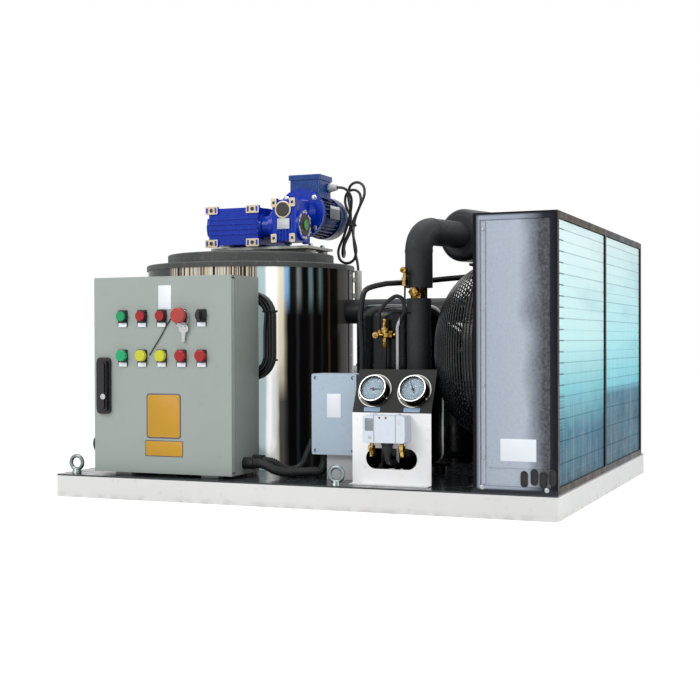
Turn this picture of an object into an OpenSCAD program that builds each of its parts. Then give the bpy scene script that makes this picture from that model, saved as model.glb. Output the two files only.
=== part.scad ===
// Flake ice machine on a base tray: control cabinet, ice drum with its drive, refrigeration set
// and air-cooled condenser. Millimetres, +X towards the condenser, +Y to the back, +Z up.
// The origin is the middle of the underside of the base tray.

/* [Base tray] */
// Length of the base tray, along X
base_w = 1320; // [1300:1:1500]
// Depth of the base tray, along Y
base_d = 1120; // [1110:1:1300]
// Height of the base tray
base_h = 58; // [45:1:90]
// Thickness of the folded skirt sheet
skirt_t = 3; // [2:0.5:5]
// Width of the return flange under the skirt
skirt_flange = 40; // [25:1:60]
// Thickness of the deck plate
deck_t = 4; // [3:0.5:8]
// Mean diameter of a lifting eye's ring
eye_ring_d = 35; // [28:1:40]
// Thickness of a lifting eye's ring
eye_wire_d = 10; // [8:0.5:12]

/* [Control cabinet] */
// Width of the cabinet
cab_w = 400; // [380:1:440]
// Height of the cabinet
cab_h = 500; // [470:1:560]
// Depth of the cabinet, door included
cab_d = 150; // [140:1:170]
// Distance of the cabinet from the tray's left edge
cab_left = 94; // [70:1:120]
// Distance of the door's face from the tray's front edge
cab_set_back = 33; // [25:1:60]
// Height of the cabinet's feet
cab_feet_h = 8; // [5:1:15]
// Thickness of the cabinet's sheet
cab_wall = 2; // [1.5:0.5:3]
// Depth of the door pan
door_t = 18; // [16:1:24]
// Gap between the door and the cabinet
door_gap = 1.5; // [1.5:0.1:2.5]
// Diameter of the hinge pins
hinge_pin_d = 6; // [5:0.5:7]
// Distance between neighbouring controls on the door
control_pitch = 57.5; // [52:0.5:60]
// Distance of the first control from the door's left edge
control_left = 87; // [80:1:95]
// Depth of the button row below the cabinet's top
button_row = 100; // [80:1:110]
// Depth of the lamp row below the cabinet's top
lamp_row = 201; // [185:1:230]
// Diameter of a control's barrel through the door
barrel_d = 22; // [20:0.5:24]
// Diameter of a push button's cap
cap_d = 25; // [24:0.5:26]
// Diameter of a pilot lamp's lens
lens_d = 29; // [27:0.5:31]
// Travel of a push button
button_travel = 4; // [2:0.5:5]
// Diameter of the emergency stop's mushroom
mushroom_d = 40; // [36:1:44]

/* [Ice drum] */
// Radius of the drum's jacket
drum_r = 294; // [285:1:300]
// Height of the drum's jacket
drum_h = 542; // [520:1:580]
// Thickness of the jacket sheet
jacket_t = 2; // [1.5:0.5:3]
// Inner radius of the freezing wall
evap_r = 222; // [215:1:226]
// Thickness of the freezing wall
evap_t = 12; // [10:1:14]
// Distance of the drum from the tray's left edge
drum_left = 8; // [6:1:20]
// Space between the cabinet's back and the drum
drum_gap = 43; // [40:1:60]
// Thickness of the lid's rim
lid_t = 15; // [12:1:20]
// Radius of the lid's raised cap
lid_cap_r = 238; // [234:1:245]
// Height of the lid's raised cap
lid_cap_h = 31; // [28:1:40]
// Diameter of the main shaft
shaft_d = 40; // [36:1:44]

/* [Drive] */
// Thickness of the drive plate
plate_t = 7; // [6:1:12]
// Height of the spacers under the drive plate
spacer_h = 12; // [8:1:16]
// Width of the main gearbox, along X
main_w = 169; // [165:1:176]
// Height of the main gearbox
main_h = 115; // [112:1:122]
// Distance from the shaft to the main gearbox's front face
main_front = 120; // [118:1:126]
// Distance from the shaft to the main gearbox's back face
main_back = 86; // [84:1:92]
// Distance between the shaft and the worm of the main gearbox
main_centres = 75; // [73:1:77]
// Length of the neck between the two gearboxes
neck_l = 40; // [36:1:46]
// Width of the input gearbox, along X
input_w = 73; // [71:1:78]
// Length of the input gearbox, along Y
input_l = 100; // [96:1:106]
// Distance between the two axes of the input gearbox
input_centres = 40; // [39:0.5:41]
// Radius of the motor flanges
flange_r = 70; // [68:1:74]
// Radius of the motor's stator housing, without ribs
motor_r = 55; // [52:1:56]
// Length of the motor's stator housing
motor_l = 150; // [145:1:170]
// Radius of the motor's fan cowl
cowl_r = 62.5; // [61:0.5:65]
// Length of the motor's fan cowl
cowl_l = 58; // [50:1:66]
// Width of the motor's terminal box
tbox_w = 100; // [90:1:106]
// Height of the terminal box above the stator housing
tbox_h = 57; // [50:1:60]

/* [Gauge panel and boxes] */
// Width of the gauge panel
panel_w = 200; // [195:1:220]
// Height of the gauge panel's upright face
panel_h = 171; // [165:1:180]
// Length of the gauge panel's sloping face
slope_l = 113; // [110:1:120]
// Lean of the sloping face from the vertical
slope_angle = 24.5; // [20:0.5:28]
// Thickness of the gauge panel's sheet
panel_t = 2; // [1.5:0.5:3]
// Distance of the gauge panel's face from the tray's front edge
panel_set_back = 70; // [66:1:76]
// Distance between the two gauges
gauge_pitch = 101; // [96:1:104]
// Diameter of a gauge's case
gauge_d = 68; // [63:1:70]
// Width of the junction box
jbox_w = 120; // [110:1:124]
// Height of the junction box
jbox_h = 200; // [190:1:210]
// Depth of the junction box, cover included
jbox_d = 75; // [65:1:78]
// Height of the junction box's bracket
jbox_rise = 62; // [58:1:70]

/* [Refrigeration set] */
// Radius of the compressor's shell
comp_r = 112; // [105:1:114]
// Height of the compressor's shell
comp_h = 415; // [400:1:430]
// Radius of the insulated suction riser
riser_r = 34; // [31:0.5:35]
// Height of the suction riser's horizontal leg above the deck
riser_leg_h = 614; // [612:1:630]
// Radius of the insulated suction accumulator
accum_r = 68; // [60:1:69]
// Length of the suction accumulator
accum_l = 236; // [220:1:240]
// Turn of the accumulator from the +Y direction towards the condenser
accum_turn = 17.6; // [15:0.1:18]
// Height of the drum's suction pipe above the deck
evap_pipe_h = 425; // [415:1:435]
// Radius of the liquid receiver
receiver_r = 80; // [70:1:85]
// Height of the liquid receiver
receiver_h = 360; // [330:1:390]

/* [Condenser] */
// Width of the condenser, along X
cond_w = 194; // [185:1:200]
// Length of the condenser, along Y
cond_d = 1080; // [1060:1:1100]
// Height of the condenser above the deck
cond_h = 630; // [615:1:660]
// Width of the condenser's posts and rails
post_w = 16; // [14:1:20]
// Thickness of the condenser's sheet panels
cover_t = 2; // [1.5:0.5:3]
// Thickness of the finned coil, along X
coil_t = 66; // [55:1:70]
// Distance between neighbouring coil fins
fin_pitch = 50; // [40:1:60]
// Radius of a fan's blades
fan_r = 195; // [185:1:200]
// Radius of a fan guard's rim
guard_r = 225; // [220:1:230]
// Distance that a fan guard stands out from its panel
guard_out = 158; // [150:1:160]
// Thickness of a fan guard's wires
wire_d = 5; // [4:0.5:6]

/* [Hidden] */
$fn = 48;
// Clearances
run_fit = 0.05;
slide_fit = 0.3;
seat = 0.2;

// Cabinet places
cab_x0 = -base_w / 2 + cab_left;
cab_x1 = cab_x0 + cab_w;
cab_front = -base_d / 2 + cab_set_back;
cab_back = cab_front + cab_d;
cab_z0 = base_h + cab_feet_h;
cab_z1 = cab_z0 + cab_h;
body_front = cab_front + door_t + door_gap;
hinge_in = 5;
hinge_x = cab_x1 - hinge_in;
hinge_y = cab_front + door_t / 2;
lip_w = 14;
collar_d = cap_d + 5;
collar_h = 9;
stem_d = 10;
stem_in = 10;
floor_z = 3;
cap_rest = floor_z + button_travel + 0.5;
legend_t = 2.5;
handle_x = cab_x0 + 31;
handle_z = cab_z0 + 276;
handle_l = 145;
handle_plate_t = 7;
handle_hub_d = 16;
control_x = [for (i = [0:4]) cab_x0 + control_left + i * control_pitch];
button_z = cab_z1 - button_row;
lamp_z = cab_z1 - lamp_row;

// Drum and drive places
drum_x = -base_w / 2 + drum_left + drum_r;
drum_y = cab_back + drum_gap + drum_r;
drum_top = base_h + drum_h;
cap_z = drum_top + lid_t;
lid_top = cap_z + lid_cap_h;
plate_z = lid_top + spacer_h;
drive_z = plate_z + plate_t;
worm_y = drum_y - main_centres;
worm_z = drive_z + main_h / 2;
main_x1 = drum_x + main_w / 2;
input_x0 = main_x1 + neck_l;
input_x = input_x0 + input_w / 2;
input_front = worm_y - input_l / 2;
input_back = worm_y + input_l / 2;
input_z0 = worm_z - 50;
motor_z = worm_z + input_centres;
input_z1 = motor_z + 31.5;
flange_y = input_back + 17;
flange_t = 11;
cowl_wall = 2;
motor_y = flange_y + flange_t;
cowl_y = motor_y + motor_l;
tbox_z = motor_z + motor_r;
tbox_y = motor_y + 10;
gland_z = tbox_z + 24;
gland_y = tbox_y + 67;
gland_x = input_x + tbox_w / 2 - 5;
gland_l = 30;
spacer_r = 16;
spacer_places = [
    [drum_x + 198, drum_y - 22],
    [drum_x + 198, drum_y + 60],
    [drum_x - 66, drum_y - 70],
    [drum_x - 66, drum_y + 60]
];

// Condenser, gauge panel and refrigeration places
cond_x1 = base_w / 2;
cond_x0 = cond_x1 - cond_w;
cond_y0 = -base_d / 2;
cond_y1 = cond_y0 + cond_d;
cond_z1 = base_h + cond_h;
fan_z = base_h + cond_h / 2;
fan_places = [cond_y0 + cond_d / 4, cond_y0 + cond_d * 3 / 4];
fan_x = cond_x0 - 38;
panel_x = cond_x0 - 224;
panel_y = -base_d / 2 + panel_set_back;
slope_z = base_h + panel_h;
gauge_x = [panel_x - gauge_pitch / 2, panel_x + gauge_pitch / 2];
gauge_up = slope_l / 2;
gauge_front = 20;
dial_depth = 10;
lens_t = 2;
comp_x = cond_x0 - 295;
comp_y = -base_d / 2 + 325;
comp_z = base_h + 20;
riser_x = comp_x + 96;
riser_y = comp_y - 125;
valve_z = base_h + 447;
valve_h = 26;
bend_r = 50;
accum_from = 170;
leg_z = base_h + riser_leg_h;
evap_pipe_z = base_h + evap_pipe_h;
evap_pipe_y = (fan_places[0] + fan_places[1]) / 2;
accum_join = (evap_pipe_y - riser_y) / cos(accum_turn);
evap_pipe_x = riser_x + accum_join * sin(accum_turn);
jbox_x1 = panel_x - panel_w / 2 - 10;
jbox_x0 = jbox_x1 - jbox_w;
jbox_y = panel_y + 50;
jbox_z = base_h + jbox_rise;
cover_h = 16;
receiver_x = comp_x + 20;
receiver_y = evap_pipe_y + 170;

// Cord routes and sizes
motor_cord_d = 6.5;
fold_r = 27.5;
fold_steps = 5;
// Turn of the folded cord about x and z, from angle a to b, as it goes from y0 to y1
function fold(x, z, a, b, y0, y1) = [for (i = [0:fold_steps]) let(s = i / fold_steps, t = a + (b - a) * s)
    [x + fold_r * cos(t), y0 + (y1 - y0) * s, z + fold_r * sin(t)]];
// Turn from the front to the back about y and z, as it goes from x0 to x1
function side_fold(x0, x1, y, z) = [for (i = [0:fold_steps]) let(s = i / fold_steps, t = 180 * s)
    [x0 + (x1 - x0) * s, y - fold_r * cos(t), z - fold_r * sin(t)]];
tube_turn = 24.7;
tube_r = 10.5;
tube_out = drum_r + 4.5 + tube_r;
tube_x = drum_x + tube_out * cos(tube_turn);
tube_y = drum_y + tube_out * sin(tube_turn);
tube_top = drum_top + 4;
motor_cord_run = concat(
    [[243, 80, 195.5], [258, 83, 192], [269, 89, 181], [273, 97, 165], [270, 104, 144], [259, 114, 108],
    [239, 123, 60]],
    fold(247, 8, 180, 360, 127, 127),
    [[265, 129, 66], [264, 131, 96], [282, 132, 138]],
    fold(272, 188, 0, 180, 134, 145),
    [[250, 147, 130], [249, 148, 88]],
    side_fold(227, 207, 172, 30),
    [[233, 191, 88], [234, 187, 114]],
    fold(247, 171, 180, 0, 179, 166),
    [[259, 161, 112], [254, 160, 86], [259, 152, 34]]
);
motor_cord = concat(
    [[gland_x + gland_l + seat, gland_y, gland_z]],
    [for (p = motor_cord_run) [drum_x, drum_y, lid_top] + p],
    [[tube_x, tube_y, tube_top + 2], [tube_x, tube_y, tube_top - 16]]
);
left_cord_d = 6;
left_cord_run = [
    [-0.6, 57, 92], [-7, 57, 92], [-14, 57, 92], [-30, 57, 87], [-40, 57, 73], [-40, 57, 57], [-30, 57, 43],
    [-14, 57, 38], [-10, 57, 38]
];
left_gland_l = 9.5;
left_cord = [for (p = left_cord_run) [cab_x0, cab_front, cab_z0] + p];
hank = [cab_x1 - 24, cab_z0 + 349];
hank_size = [130, 232];
hank_strand = 30;
conduit_d = 24;
conduit_gap = jbox_x0 - cab_x1;
// From the cabinet's side to the junction box: share of the gap, then distances from its front and foot
conduit_a_run = [
    [0.33, 66, 25], [0.47, 72, 12], [0.61, 86, 6], [0.76, 104, 6], [0.9, 116, 7]
];
conduit_b_run = [
    [0.33, 118, 27], [0.45, 125, 13], [0.58, 138, 8], [0.68, 154, 20], [0.73, 170, 50], [0.79, 186, 84],
    [0.89, 200, 110], [1.02, 208, 128]
];
function conduit_start(y, z) = [for (x = [30, 36, 42]) [cab_x1 + x, cab_front + y, cab_z0 + z]];
function conduit_way(run) = [for (p = run) [cab_x1 + p.x * conduit_gap, cab_front + p.y, cab_z0 + p.z]];
conduit_a = concat(
    conduit_start(66, 28),
    conduit_way(conduit_a_run),
    [[jbox_x0 + 9, jbox_y + 38, base_h + 19], [jbox_x0 + 17, jbox_y + 40, base_h + 36]],
    [for (z = [14, 7, seat]) [jbox_x0 + 18, jbox_y + 40, jbox_z - z]]
);
conduit_b = concat(
    conduit_start(117, 30),
    conduit_way(conduit_b_run),
    [[jbox_x0 + 28, jbox_y + jbox_d + 43, jbox_z + 84]],
    [for (y = [26, 13, seat]) [jbox_x0 + 38, jbox_y + jbox_d + y, jbox_z + 86]]
);

// Shared shapes

module block(x0, x1, y0, y1, z0, z1) {
    translate([x0, y0, z0]) cube([x1 - x0, y1 - y0, z1 - z0]);
}

// A flat shape w by h about its middle, with corners of radius r
module rounded_rect(w, h, r) {
    square([w - 2 * r, h], center = true);
    square([w, h - 2 * r], center = true);
    for (x = [-1, 1], y = [-1, 1]) {
        translate([x * (w / 2 - r), y * (h / 2 - r)]) circle(r);
    }
}

// Children drawn in XY with +Z towards the viewer, set on the door's face at x, z
module on_door(x, z) {
    translate([x, cab_front, z]) rotate([90, 0, 0]) children();
}

// Children with +Z along +X
module along_x(x, y, z) {
    translate([x, y, z]) rotate([0, 90, 0]) children();
}

// Children with +Z along +Y
module along_y(x, y, z) {
    translate([x, y, z]) rotate([-90, 0, 0]) children();
}

// Children on the sloping face, +Z out of it and +Y up along it
module on_slope(x, up) {
    translate([x, panel_y, slope_z]) rotate([90 - slope_angle, 0, 0]) translate([0, up, 0]) children();
}

module tube(r_out, r_in, h) {
    difference() {
        cylinder(r = r_out, h = h);
        translate([0, 0, -1]) cylinder(r = r_in, h = h + 2);
    }
}

// Smooth curve through points p, with n steps in each span
function unit(v) = v / norm(v);
function slope_at(p, i) =
    i == 0 ? unit(p[1] - p[0]) :
    i == len(p) - 1 ? unit(p[i] - p[i - 1]) :
    let(u = p[i] - p[i - 1], v = p[i + 1] - p[i], a = norm(u), b = norm(v)) (u * b / a + v * a / b) / (a + b);
function curve_point(b, c, m, n, t) = let(d = norm(c - b), s = t * t * (3 - 2 * t))
    (1 - s) * b + s * c + d * t * (1 - t) * ((1 - t) * m - t * n);
function smooth(p, n) = let(last = len(p) - 1) concat(
    [for (i = [0:last - 1], j = [0:n - 1])
        curve_point(p[i], p[i + 1], slope_at(p, i), slope_at(p, i + 1), j / n)],
    [p[last]]
);
function heading(p, i) = unit(p[min(i + 1, len(p) - 1)] - p[max(i - 1, 0)]);
function across(n, t) = unit(n - (n * t) * t);
function frames(p, i, n) = i >= len(p) ? [] :
    let(t = heading(p, i), m = across(n, t)) concat([[m, cross(t, m)]], frames(p, i + 1, m));

// Round bar of radius r swept along points p
module swept(p, r, sides = 10) {
    start = abs(heading(p, 0).z) < 0.8 ? [0, 0, 1] : [1, 0, 0];
    f = frames(p, 0, start);
    rings = len(p);
    points = [for (i = [0:rings - 1], k = [0:sides - 1])
        p[i] + r * (cos(360 * k / sides) * f[i][0] + sin(360 * k / sides) * f[i][1])];
    walls = [for (i = [0:rings - 2], k = [0:sides - 1])
        let(a = i * sides + k, b = i * sides + (k + 1) % sides) [a, a + sides, b + sides, b]];
    ends = [[for (k = [0:sides - 1]) k], [for (k = [sides - 1:-1:0]) (rings - 1) * sides + k]];
    polyhedron(points, concat(walls, ends), convexity = 6);
}

// Base tray

module base_skirt() {
    skirt_h = base_h - deck_t;
    color("whitesmoke") {
        difference() {
            block(-base_w / 2, base_w / 2, -base_d / 2, base_d / 2, 0, skirt_h);
            block(-base_w / 2 + skirt_t, base_w / 2 - skirt_t,
                -base_d / 2 + skirt_t, base_d / 2 - skirt_t, skirt_t, skirt_h + 1);
            block(-base_w / 2 + skirt_flange, base_w / 2 - skirt_flange,
                -base_d / 2 + skirt_flange, base_d / 2 - skirt_flange, -1, skirt_t + 1);
        }
        // Channels across the tray
        for (x = [drum_x + drum_r + 20, cond_x0 - 40]) difference() {
            block(x, x + skirt_flange, -base_d / 2 + skirt_t, base_d / 2 - skirt_t, 0, skirt_h);
            block(x + skirt_t, x + skirt_flange + 1, -base_d / 2, base_d / 2, skirt_t, skirt_h - skirt_t);
        }
    }
}

eye_places = [
    [-base_w / 2 + 24, -base_d / 2 + 53], [119, -base_d / 2 + 24],
    [-base_w / 2 + 24, base_d / 2 - 53], [119, base_d / 2 - 24]
];
eye_shank_d = 10;

module deck_plate() {
    color("dimgray") difference() {
        block(-base_w / 2, base_w / 2, -base_d / 2, base_d / 2, base_h - deck_t, base_h);
        translate([drum_x, drum_y, 0]) cylinder(r = evap_r - 6, h = base_h + 1);
        for (p = eye_places) {
            translate([p[0], p[1], 0]) cylinder(d = eye_shank_d + 2 * slide_fit, h = base_h + 1);
        }
    }
}

module lifting_eyes() {
    collar_t = 8;
    color("silver") for (p = eye_places) {
        translate([p[0], p[1], base_h]) {
            cylinder(r1 = 13, r2 = 9, h = collar_t + 2);
            translate([0, 0, -16]) cylinder(d = eye_shank_d, h = 17);
            translate([0, 0, collar_t + eye_ring_d / 2]) rotate([90, 0, 0])
                rotate_extrude() translate([eye_ring_d / 2, 0]) circle(d = eye_wire_d, $fn = 32);
        }
    }
}

// Ice drum

seam_turn = 8;
seam_half_w = 3;

module drum_jacket() {
    color("silver") translate([drum_x, drum_y, base_h]) {
        tube(drum_r, drum_r - jacket_t, drum_h);
        rotate([0, 0, seam_turn - seam_half_w]) rotate_extrude(angle = 2 * seam_half_w)
            translate([drum_r - jacket_t / 2, 0]) square([1.5 * jacket_t, drum_h]);
    }
}

module drum_insulation() {
    color("khaki") translate([drum_x, drum_y, base_h])
        tube(drum_r - jacket_t - seat, evap_r + evap_t + seat, drum_h - seat);
}

module evaporator_wall() {
    color("lightgray") translate([drum_x, drum_y, base_h]) tube(evap_r + evap_t, evap_r, drum_h - seat);
}

lid_wall = 5;

module drum_lid() {
    rim = drum_r + 4;
    round_r = 4;
    color("#202124") translate([drum_x, drum_y, drum_top]) difference() {
        rotate_extrude($fn = 96) {
            square([rim - round_r, lid_t]);
            square([rim, lid_t - round_r]);
            translate([rim - round_r, lid_t - round_r]) circle(round_r, $fn = 32);
            square([lid_cap_r, lid_t + lid_cap_h - round_r]);
            square([lid_cap_r - round_r, lid_t + lid_cap_h]);
            translate([lid_cap_r - round_r, lid_t + lid_cap_h - round_r]) circle(round_r, $fn = 32);
        }
        translate([0, 0, -1]) cylinder(r = evap_r - 2, h = lid_t + lid_cap_h - lid_wall + 1);
        cylinder(d = shaft_d + 8, h = lid_t + lid_cap_h + 1);
    }
}

spider_z = base_h + 14;
hub_h = 46;

module bottom_spider() {
    arm_t = 16;
    color("silver") translate([drum_x, drum_y, spider_z]) difference() {
        union() {
            cylinder(r = shaft_d / 2 + 18, h = hub_h);
            for (a = [30, 150, 270]) {
                rotate([0, 0, a]) intersection() {
                    block(0, evap_r, -arm_t / 2, arm_t / 2, 0, 34);
                    cylinder(r = evap_r - seat, h = 40);
                }
            }
        }
        translate([0, 0, 8]) cylinder(d = shaft_d + 2 * run_fit, h = hub_h);
    }
}

blade_arm_z = [base_h + 120, base_h + drum_h - 122];
blade_turn = 0;
squeegee_turn = 110;

module main_shaft() {
    foot_z = spider_z + 8;
    arm_d = 26;
    color("silver") translate([drum_x, drum_y, 0]) {
        translate([0, 0, foot_z]) cylinder(d = shaft_d, h = drive_z + main_h + 6 - foot_z);
        for (z = blade_arm_z, a = [blade_turn, squeegee_turn]) {
            translate([0, 0, z]) rotate([0, 90, a]) cylinder(d = arm_d, h = evap_r - 40);
        }
    }
}

// Toothed roller that breaks the ice off the freezing wall
module ice_blade() {
    teeth = 9;
    bar_z0 = base_h + 70;
    bar_h = drum_h - 150;
    color("lightslategray") translate([drum_x, drum_y, 0]) rotate([0, 0, blade_turn]) difference() {
        block(evap_r - 40, evap_r - 3, -9, 9, bar_z0, bar_z0 + bar_h);
        for (i = [0:teeth]) {
            translate([evap_r - 3, 0, bar_z0 + (i + 0.5) * bar_h / (teeth + 1)]) rotate([90, 0, 0])
                translate([0, 0, -10]) cylinder(r = 14, h = 20);
        }
    }
}

module squeegee() {
    bar_z0 = base_h + 70;
    color("#222222") translate([drum_x, drum_y, 0]) rotate([0, 0, squeegee_turn])
        block(evap_r - 40, evap_r - 1.5, -5, 5, bar_z0, bar_z0 + drum_h - 150);
}

module water_tray() {
    tray_r = evap_r - 12;
    tray_z = base_h + drum_h - 66;
    color("gainsboro") translate([drum_x, drum_y, tray_z]) difference() {
        cylinder(r = tray_r, h = 44);
        difference() {
            translate([0, 0, 4]) cylinder(r = tray_r - 3, h = 44);
            cylinder(d = shaft_d + 14, h = 44);
        }
        translate([0, 0, -1]) cylinder(d = shaft_d, h = 50);
    }
}

// Drive

module drive_plate() {
    x0 = drum_x - 82;
    x1 = drum_x + 220;
    color("silver") {
        difference() {
            block(x0, x1, drum_y - 90, drum_y + 84, plate_z, drive_z);
            translate([drum_x, drum_y, plate_z - 1]) cylinder(d = shaft_d + 10, h = plate_t + 2);
        }
        for (p = spacer_places) {
            translate([p[0], p[1], lid_top]) cylinder(r = spacer_r, h = spacer_h, $fn = 6);
        }
    }
}

// Four machined pads with bolt holes on the corners of a w by h face, +Z out of the face
module pads(w, h, size, rise) {
    for (x = [-1, 1], y = [-1, 1]) {
        translate([x * (w - size[0]) / 2, y * (h - size[1]) / 2, -rise]) difference() {
            linear_extrude(2 * rise) rounded_rect(size[0], size[1], 3);
            cylinder(d = min(size[0], size[1]) * 0.5, h = 3 * rise);
        }
    }
}

module main_gearbox() {
    y0 = drum_y - main_front;
    y1 = drum_y + main_back;
    pad_rise = 5;
    pad = [40, 22];
    bore_d = shaft_d + 2 * run_fit;
    rib_gap = (main_h - 2 * pad[1]) / 5;
    color("mediumblue") difference() {
        union() {
            // Housing with drawn-in waist between the pads
            translate([drum_x, 0, drive_z + 6]) linear_extrude(main_h - 12) {
                translate([0, (y0 + y1) / 2]) rounded_rect(main_w - 2 * pad_rise, y1 - y0 - 2 * pad_rise, 12);
            }
            translate([drum_x, drum_y, drive_z]) cylinder(r = 62, h = main_h);
            along_x(drum_x - main_w / 2, worm_y, worm_z) cylinder(r = 36, h = main_w);
            for (side = [[y0 + pad_rise, 90], [y1 - pad_rise, -90]]) {
                translate([drum_x, side[0], worm_z]) rotate([side[1], 0, 0]) {
                    pads(main_w, main_h, pad, pad_rise);
                    for (i = [1:4]) {
                        translate([-main_w / 2 + 6, -main_h / 2 + pad[1] + i * rib_gap - 2, -pad_rise])
                            cube([main_w - 12, 4, 2 * pad_rise - 2]);
                    }
                }
            }
            // Neck with its bolting flange
            along_x(main_x1 - 1, worm_y, worm_z) cylinder(r = 30, h = neck_l + 1);
            along_x(input_x0 - 12, worm_y, worm_z) cylinder(r = 44, h = 12);
        }
        translate([drum_x, drum_y, drive_z - 1]) cylinder(d = bore_d, h = main_h + 2);
    }
}

module input_gearbox() {
    pad_rise = 4;
    pad = [17, 24];
    body_h = input_z1 - input_z0;
    mid_z = (input_z0 + input_z1) / 2;
    fin_n = 5;
    color("mediumblue") {
        translate([input_x, worm_y, input_z0 + pad_rise]) linear_extrude(body_h - 2 * pad_rise)
            rounded_rect(input_w, input_l - 2 * pad_rise, 8);
        // Output covers, along X
        along_x(input_x0, worm_y, worm_z) cylinder(r = 43, h = input_w + 7);
        // Worm tube and the adapter flange of the motor, along Y
        along_y(input_x, input_front, motor_z) cylinder(r = 24, h = input_l + 17);
        along_y(input_x, input_back - 2, motor_z) cylinder(r1 = 34, r2 = 46, h = flange_y - input_back + 2);
        along_y(input_x, flange_y, motor_z) cylinder(r = flange_r, h = flange_t);
        for (side = [[input_front + pad_rise, 90], [input_back - pad_rise, -90]]) {
            translate([input_x, side[0], mid_z]) rotate([side[1], 0, 0])
                pads(input_w, body_h, pad, pad_rise);
        }
        for (side = [[input_z1 - pad_rise, 0], [input_z0 + pad_rise, 180]]) {
            translate([input_x, worm_y, side[0]]) rotate([side[1], 0, 0])
                pads(input_w, input_l, [17, 17], pad_rise);
        }
        for (i = [0:fin_n - 1]) {
            x = input_x + (i - (fin_n - 1) / 2) * 9;
            block(x - 1.5, x + 1.5, input_front + 0.5, worm_y, input_z0 + pad_rise + 2, worm_z - 14);
        }
    }
}

module gearbox_caps() {
    color("#181818") {
        along_y(input_x, input_front - 3, motor_z) cylinder(r = 19, h = 3);
        along_x(input_x0 + input_w + 7, worm_y, worm_z) {
            cylinder(r = 30, h = 2);
            cylinder(r = 14, h = 5);
        }
    }
}

module motor_housing() {
    rib_n = 28;
    rib_h = 5;
    color("royalblue") {
        along_y(input_x, motor_y, motor_z) {
            cylinder(r = flange_r, h = 9);
            cylinder(r = motor_r, h = motor_l);
            translate([0, 0, motor_l - 14]) cylinder(r = cowl_r - cowl_wall - seat / 2, h = 14);
            for (i = [0:rib_n - 1]) {
                rotate([0, 0, i * 360 / rib_n]) translate([motor_r - 2, -1.4, 16])
                    cube([rib_h + 2, 2.8, motor_l - 36]);
            }
        }
    }
}

module motor_cowl() {
    vents = 12;
    color("royalblue") along_y(input_x, cowl_y - 12, motor_z) difference() {
        union() {
            cylinder(r = cowl_r, h = cowl_l - 8);
            translate([0, 0, cowl_l - 8]) cylinder(r1 = cowl_r, r2 = cowl_r - 8, h = 8);
        }
        translate([0, 0, -1]) cylinder(r = cowl_r - cowl_wall, h = cowl_l - 8);
        for (i = [0:vents - 1]) {
            rotate([0, 0, i * 360 / vents]) translate([18, -3, cowl_l - 12]) cube([28, 6, 20]);
        }
    }
}

module terminal_box() {
    box_l = 96;
    lid_h = 14;
    color("royalblue") difference() {
        union() {
            translate([input_x, tbox_y + box_l / 2, tbox_z - 8]) linear_extrude(tbox_h + 8 - lid_h)
                rounded_rect(tbox_w - 8, box_l - 8, 6);
            translate([input_x, tbox_y + box_l / 2, tbox_z + tbox_h - lid_h]) linear_extrude(lid_h)
                rounded_rect(tbox_w, box_l, 8);
        }
        along_y(input_x, tbox_y - 20, motor_z) cylinder(r = motor_r + 5.2, h = box_l + 40);
    }
    color("gray") along_x(gland_x, gland_y, gland_z) {
        cylinder(r = 13, h = 12, $fn = 6);
        translate([0, 0, 12]) cylinder(r1 = 12, r2 = 8, h = gland_l - 12);
    }
}

module motor_cable() {
    color("#141414") swept(smooth(motor_cord, 2), motor_cord_d / 2);
}

module cable_tube() {
    clip_w = 14;
    color("white") {
        translate([tube_x, tube_y, tube_top - 84]) {
            tube(tube_r, tube_r - 2.5, 84);
            translate([0, 0, -16]) cylinder(r = tube_r - 0.5, h = 17);
        }
        // Clips that hold it to the jacket
        translate([drum_x, drum_y, 0]) rotate([0, 0, tube_turn]) for (z = [tube_top - 80, tube_top - 34]) {
            difference() {
                block(drum_r - 2, tube_out - tube_r + 2, -clip_w / 2, clip_w / 2, z, z + clip_w);
                cylinder(r = drum_r + seat / 2, h = z + 2 * clip_w);
            }
        }
    }
}

module water_tank() {
    tank_x = drum_x - 120;
    tank_y = drum_y + drum_r + 46;
    tank = [260, 220, 250];
    lip = 8;
    pump_x = tank_x + tank[0] + 40;
    color("silver") {
        translate([tank_x, tank_y, base_h]) cube(tank);
        translate([tank_x - lip, tank_y - lip, base_h + tank[2]])
            cube([tank[0] + 2 * lip, tank[1] + 2 * lip, 14]);
        along_x(tank_x + tank[0], tank_y + tank[1] / 2, base_h + 60) cylinder(r = 14, h = 30);
        translate([pump_x + 30, tank_y + tank[1] / 2, base_h]) cylinder(r = 42, h = 120);
        translate([pump_x + 30, tank_y + tank[1] / 2, base_h + 120]) cylinder(r = 30, h = 50);
    }
}

// Control cabinet

tab_t = 3;
pan_wall = 1.5;

module hinge_tab(z, up) {
    tab_w = 7;
    translate([hinge_x, hinge_y, z]) {
        cylinder(d = tab_w, h = tab_t);
        block(-tab_w / 2, tab_w / 2, 0, body_front - hinge_y + 1, 0, tab_t);
        translate([0, 0, up > 0 ? tab_t : -pan_wall - 0.5]) cylinder(d = hinge_pin_d, h = pan_wall + 0.5);
    }
}

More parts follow.
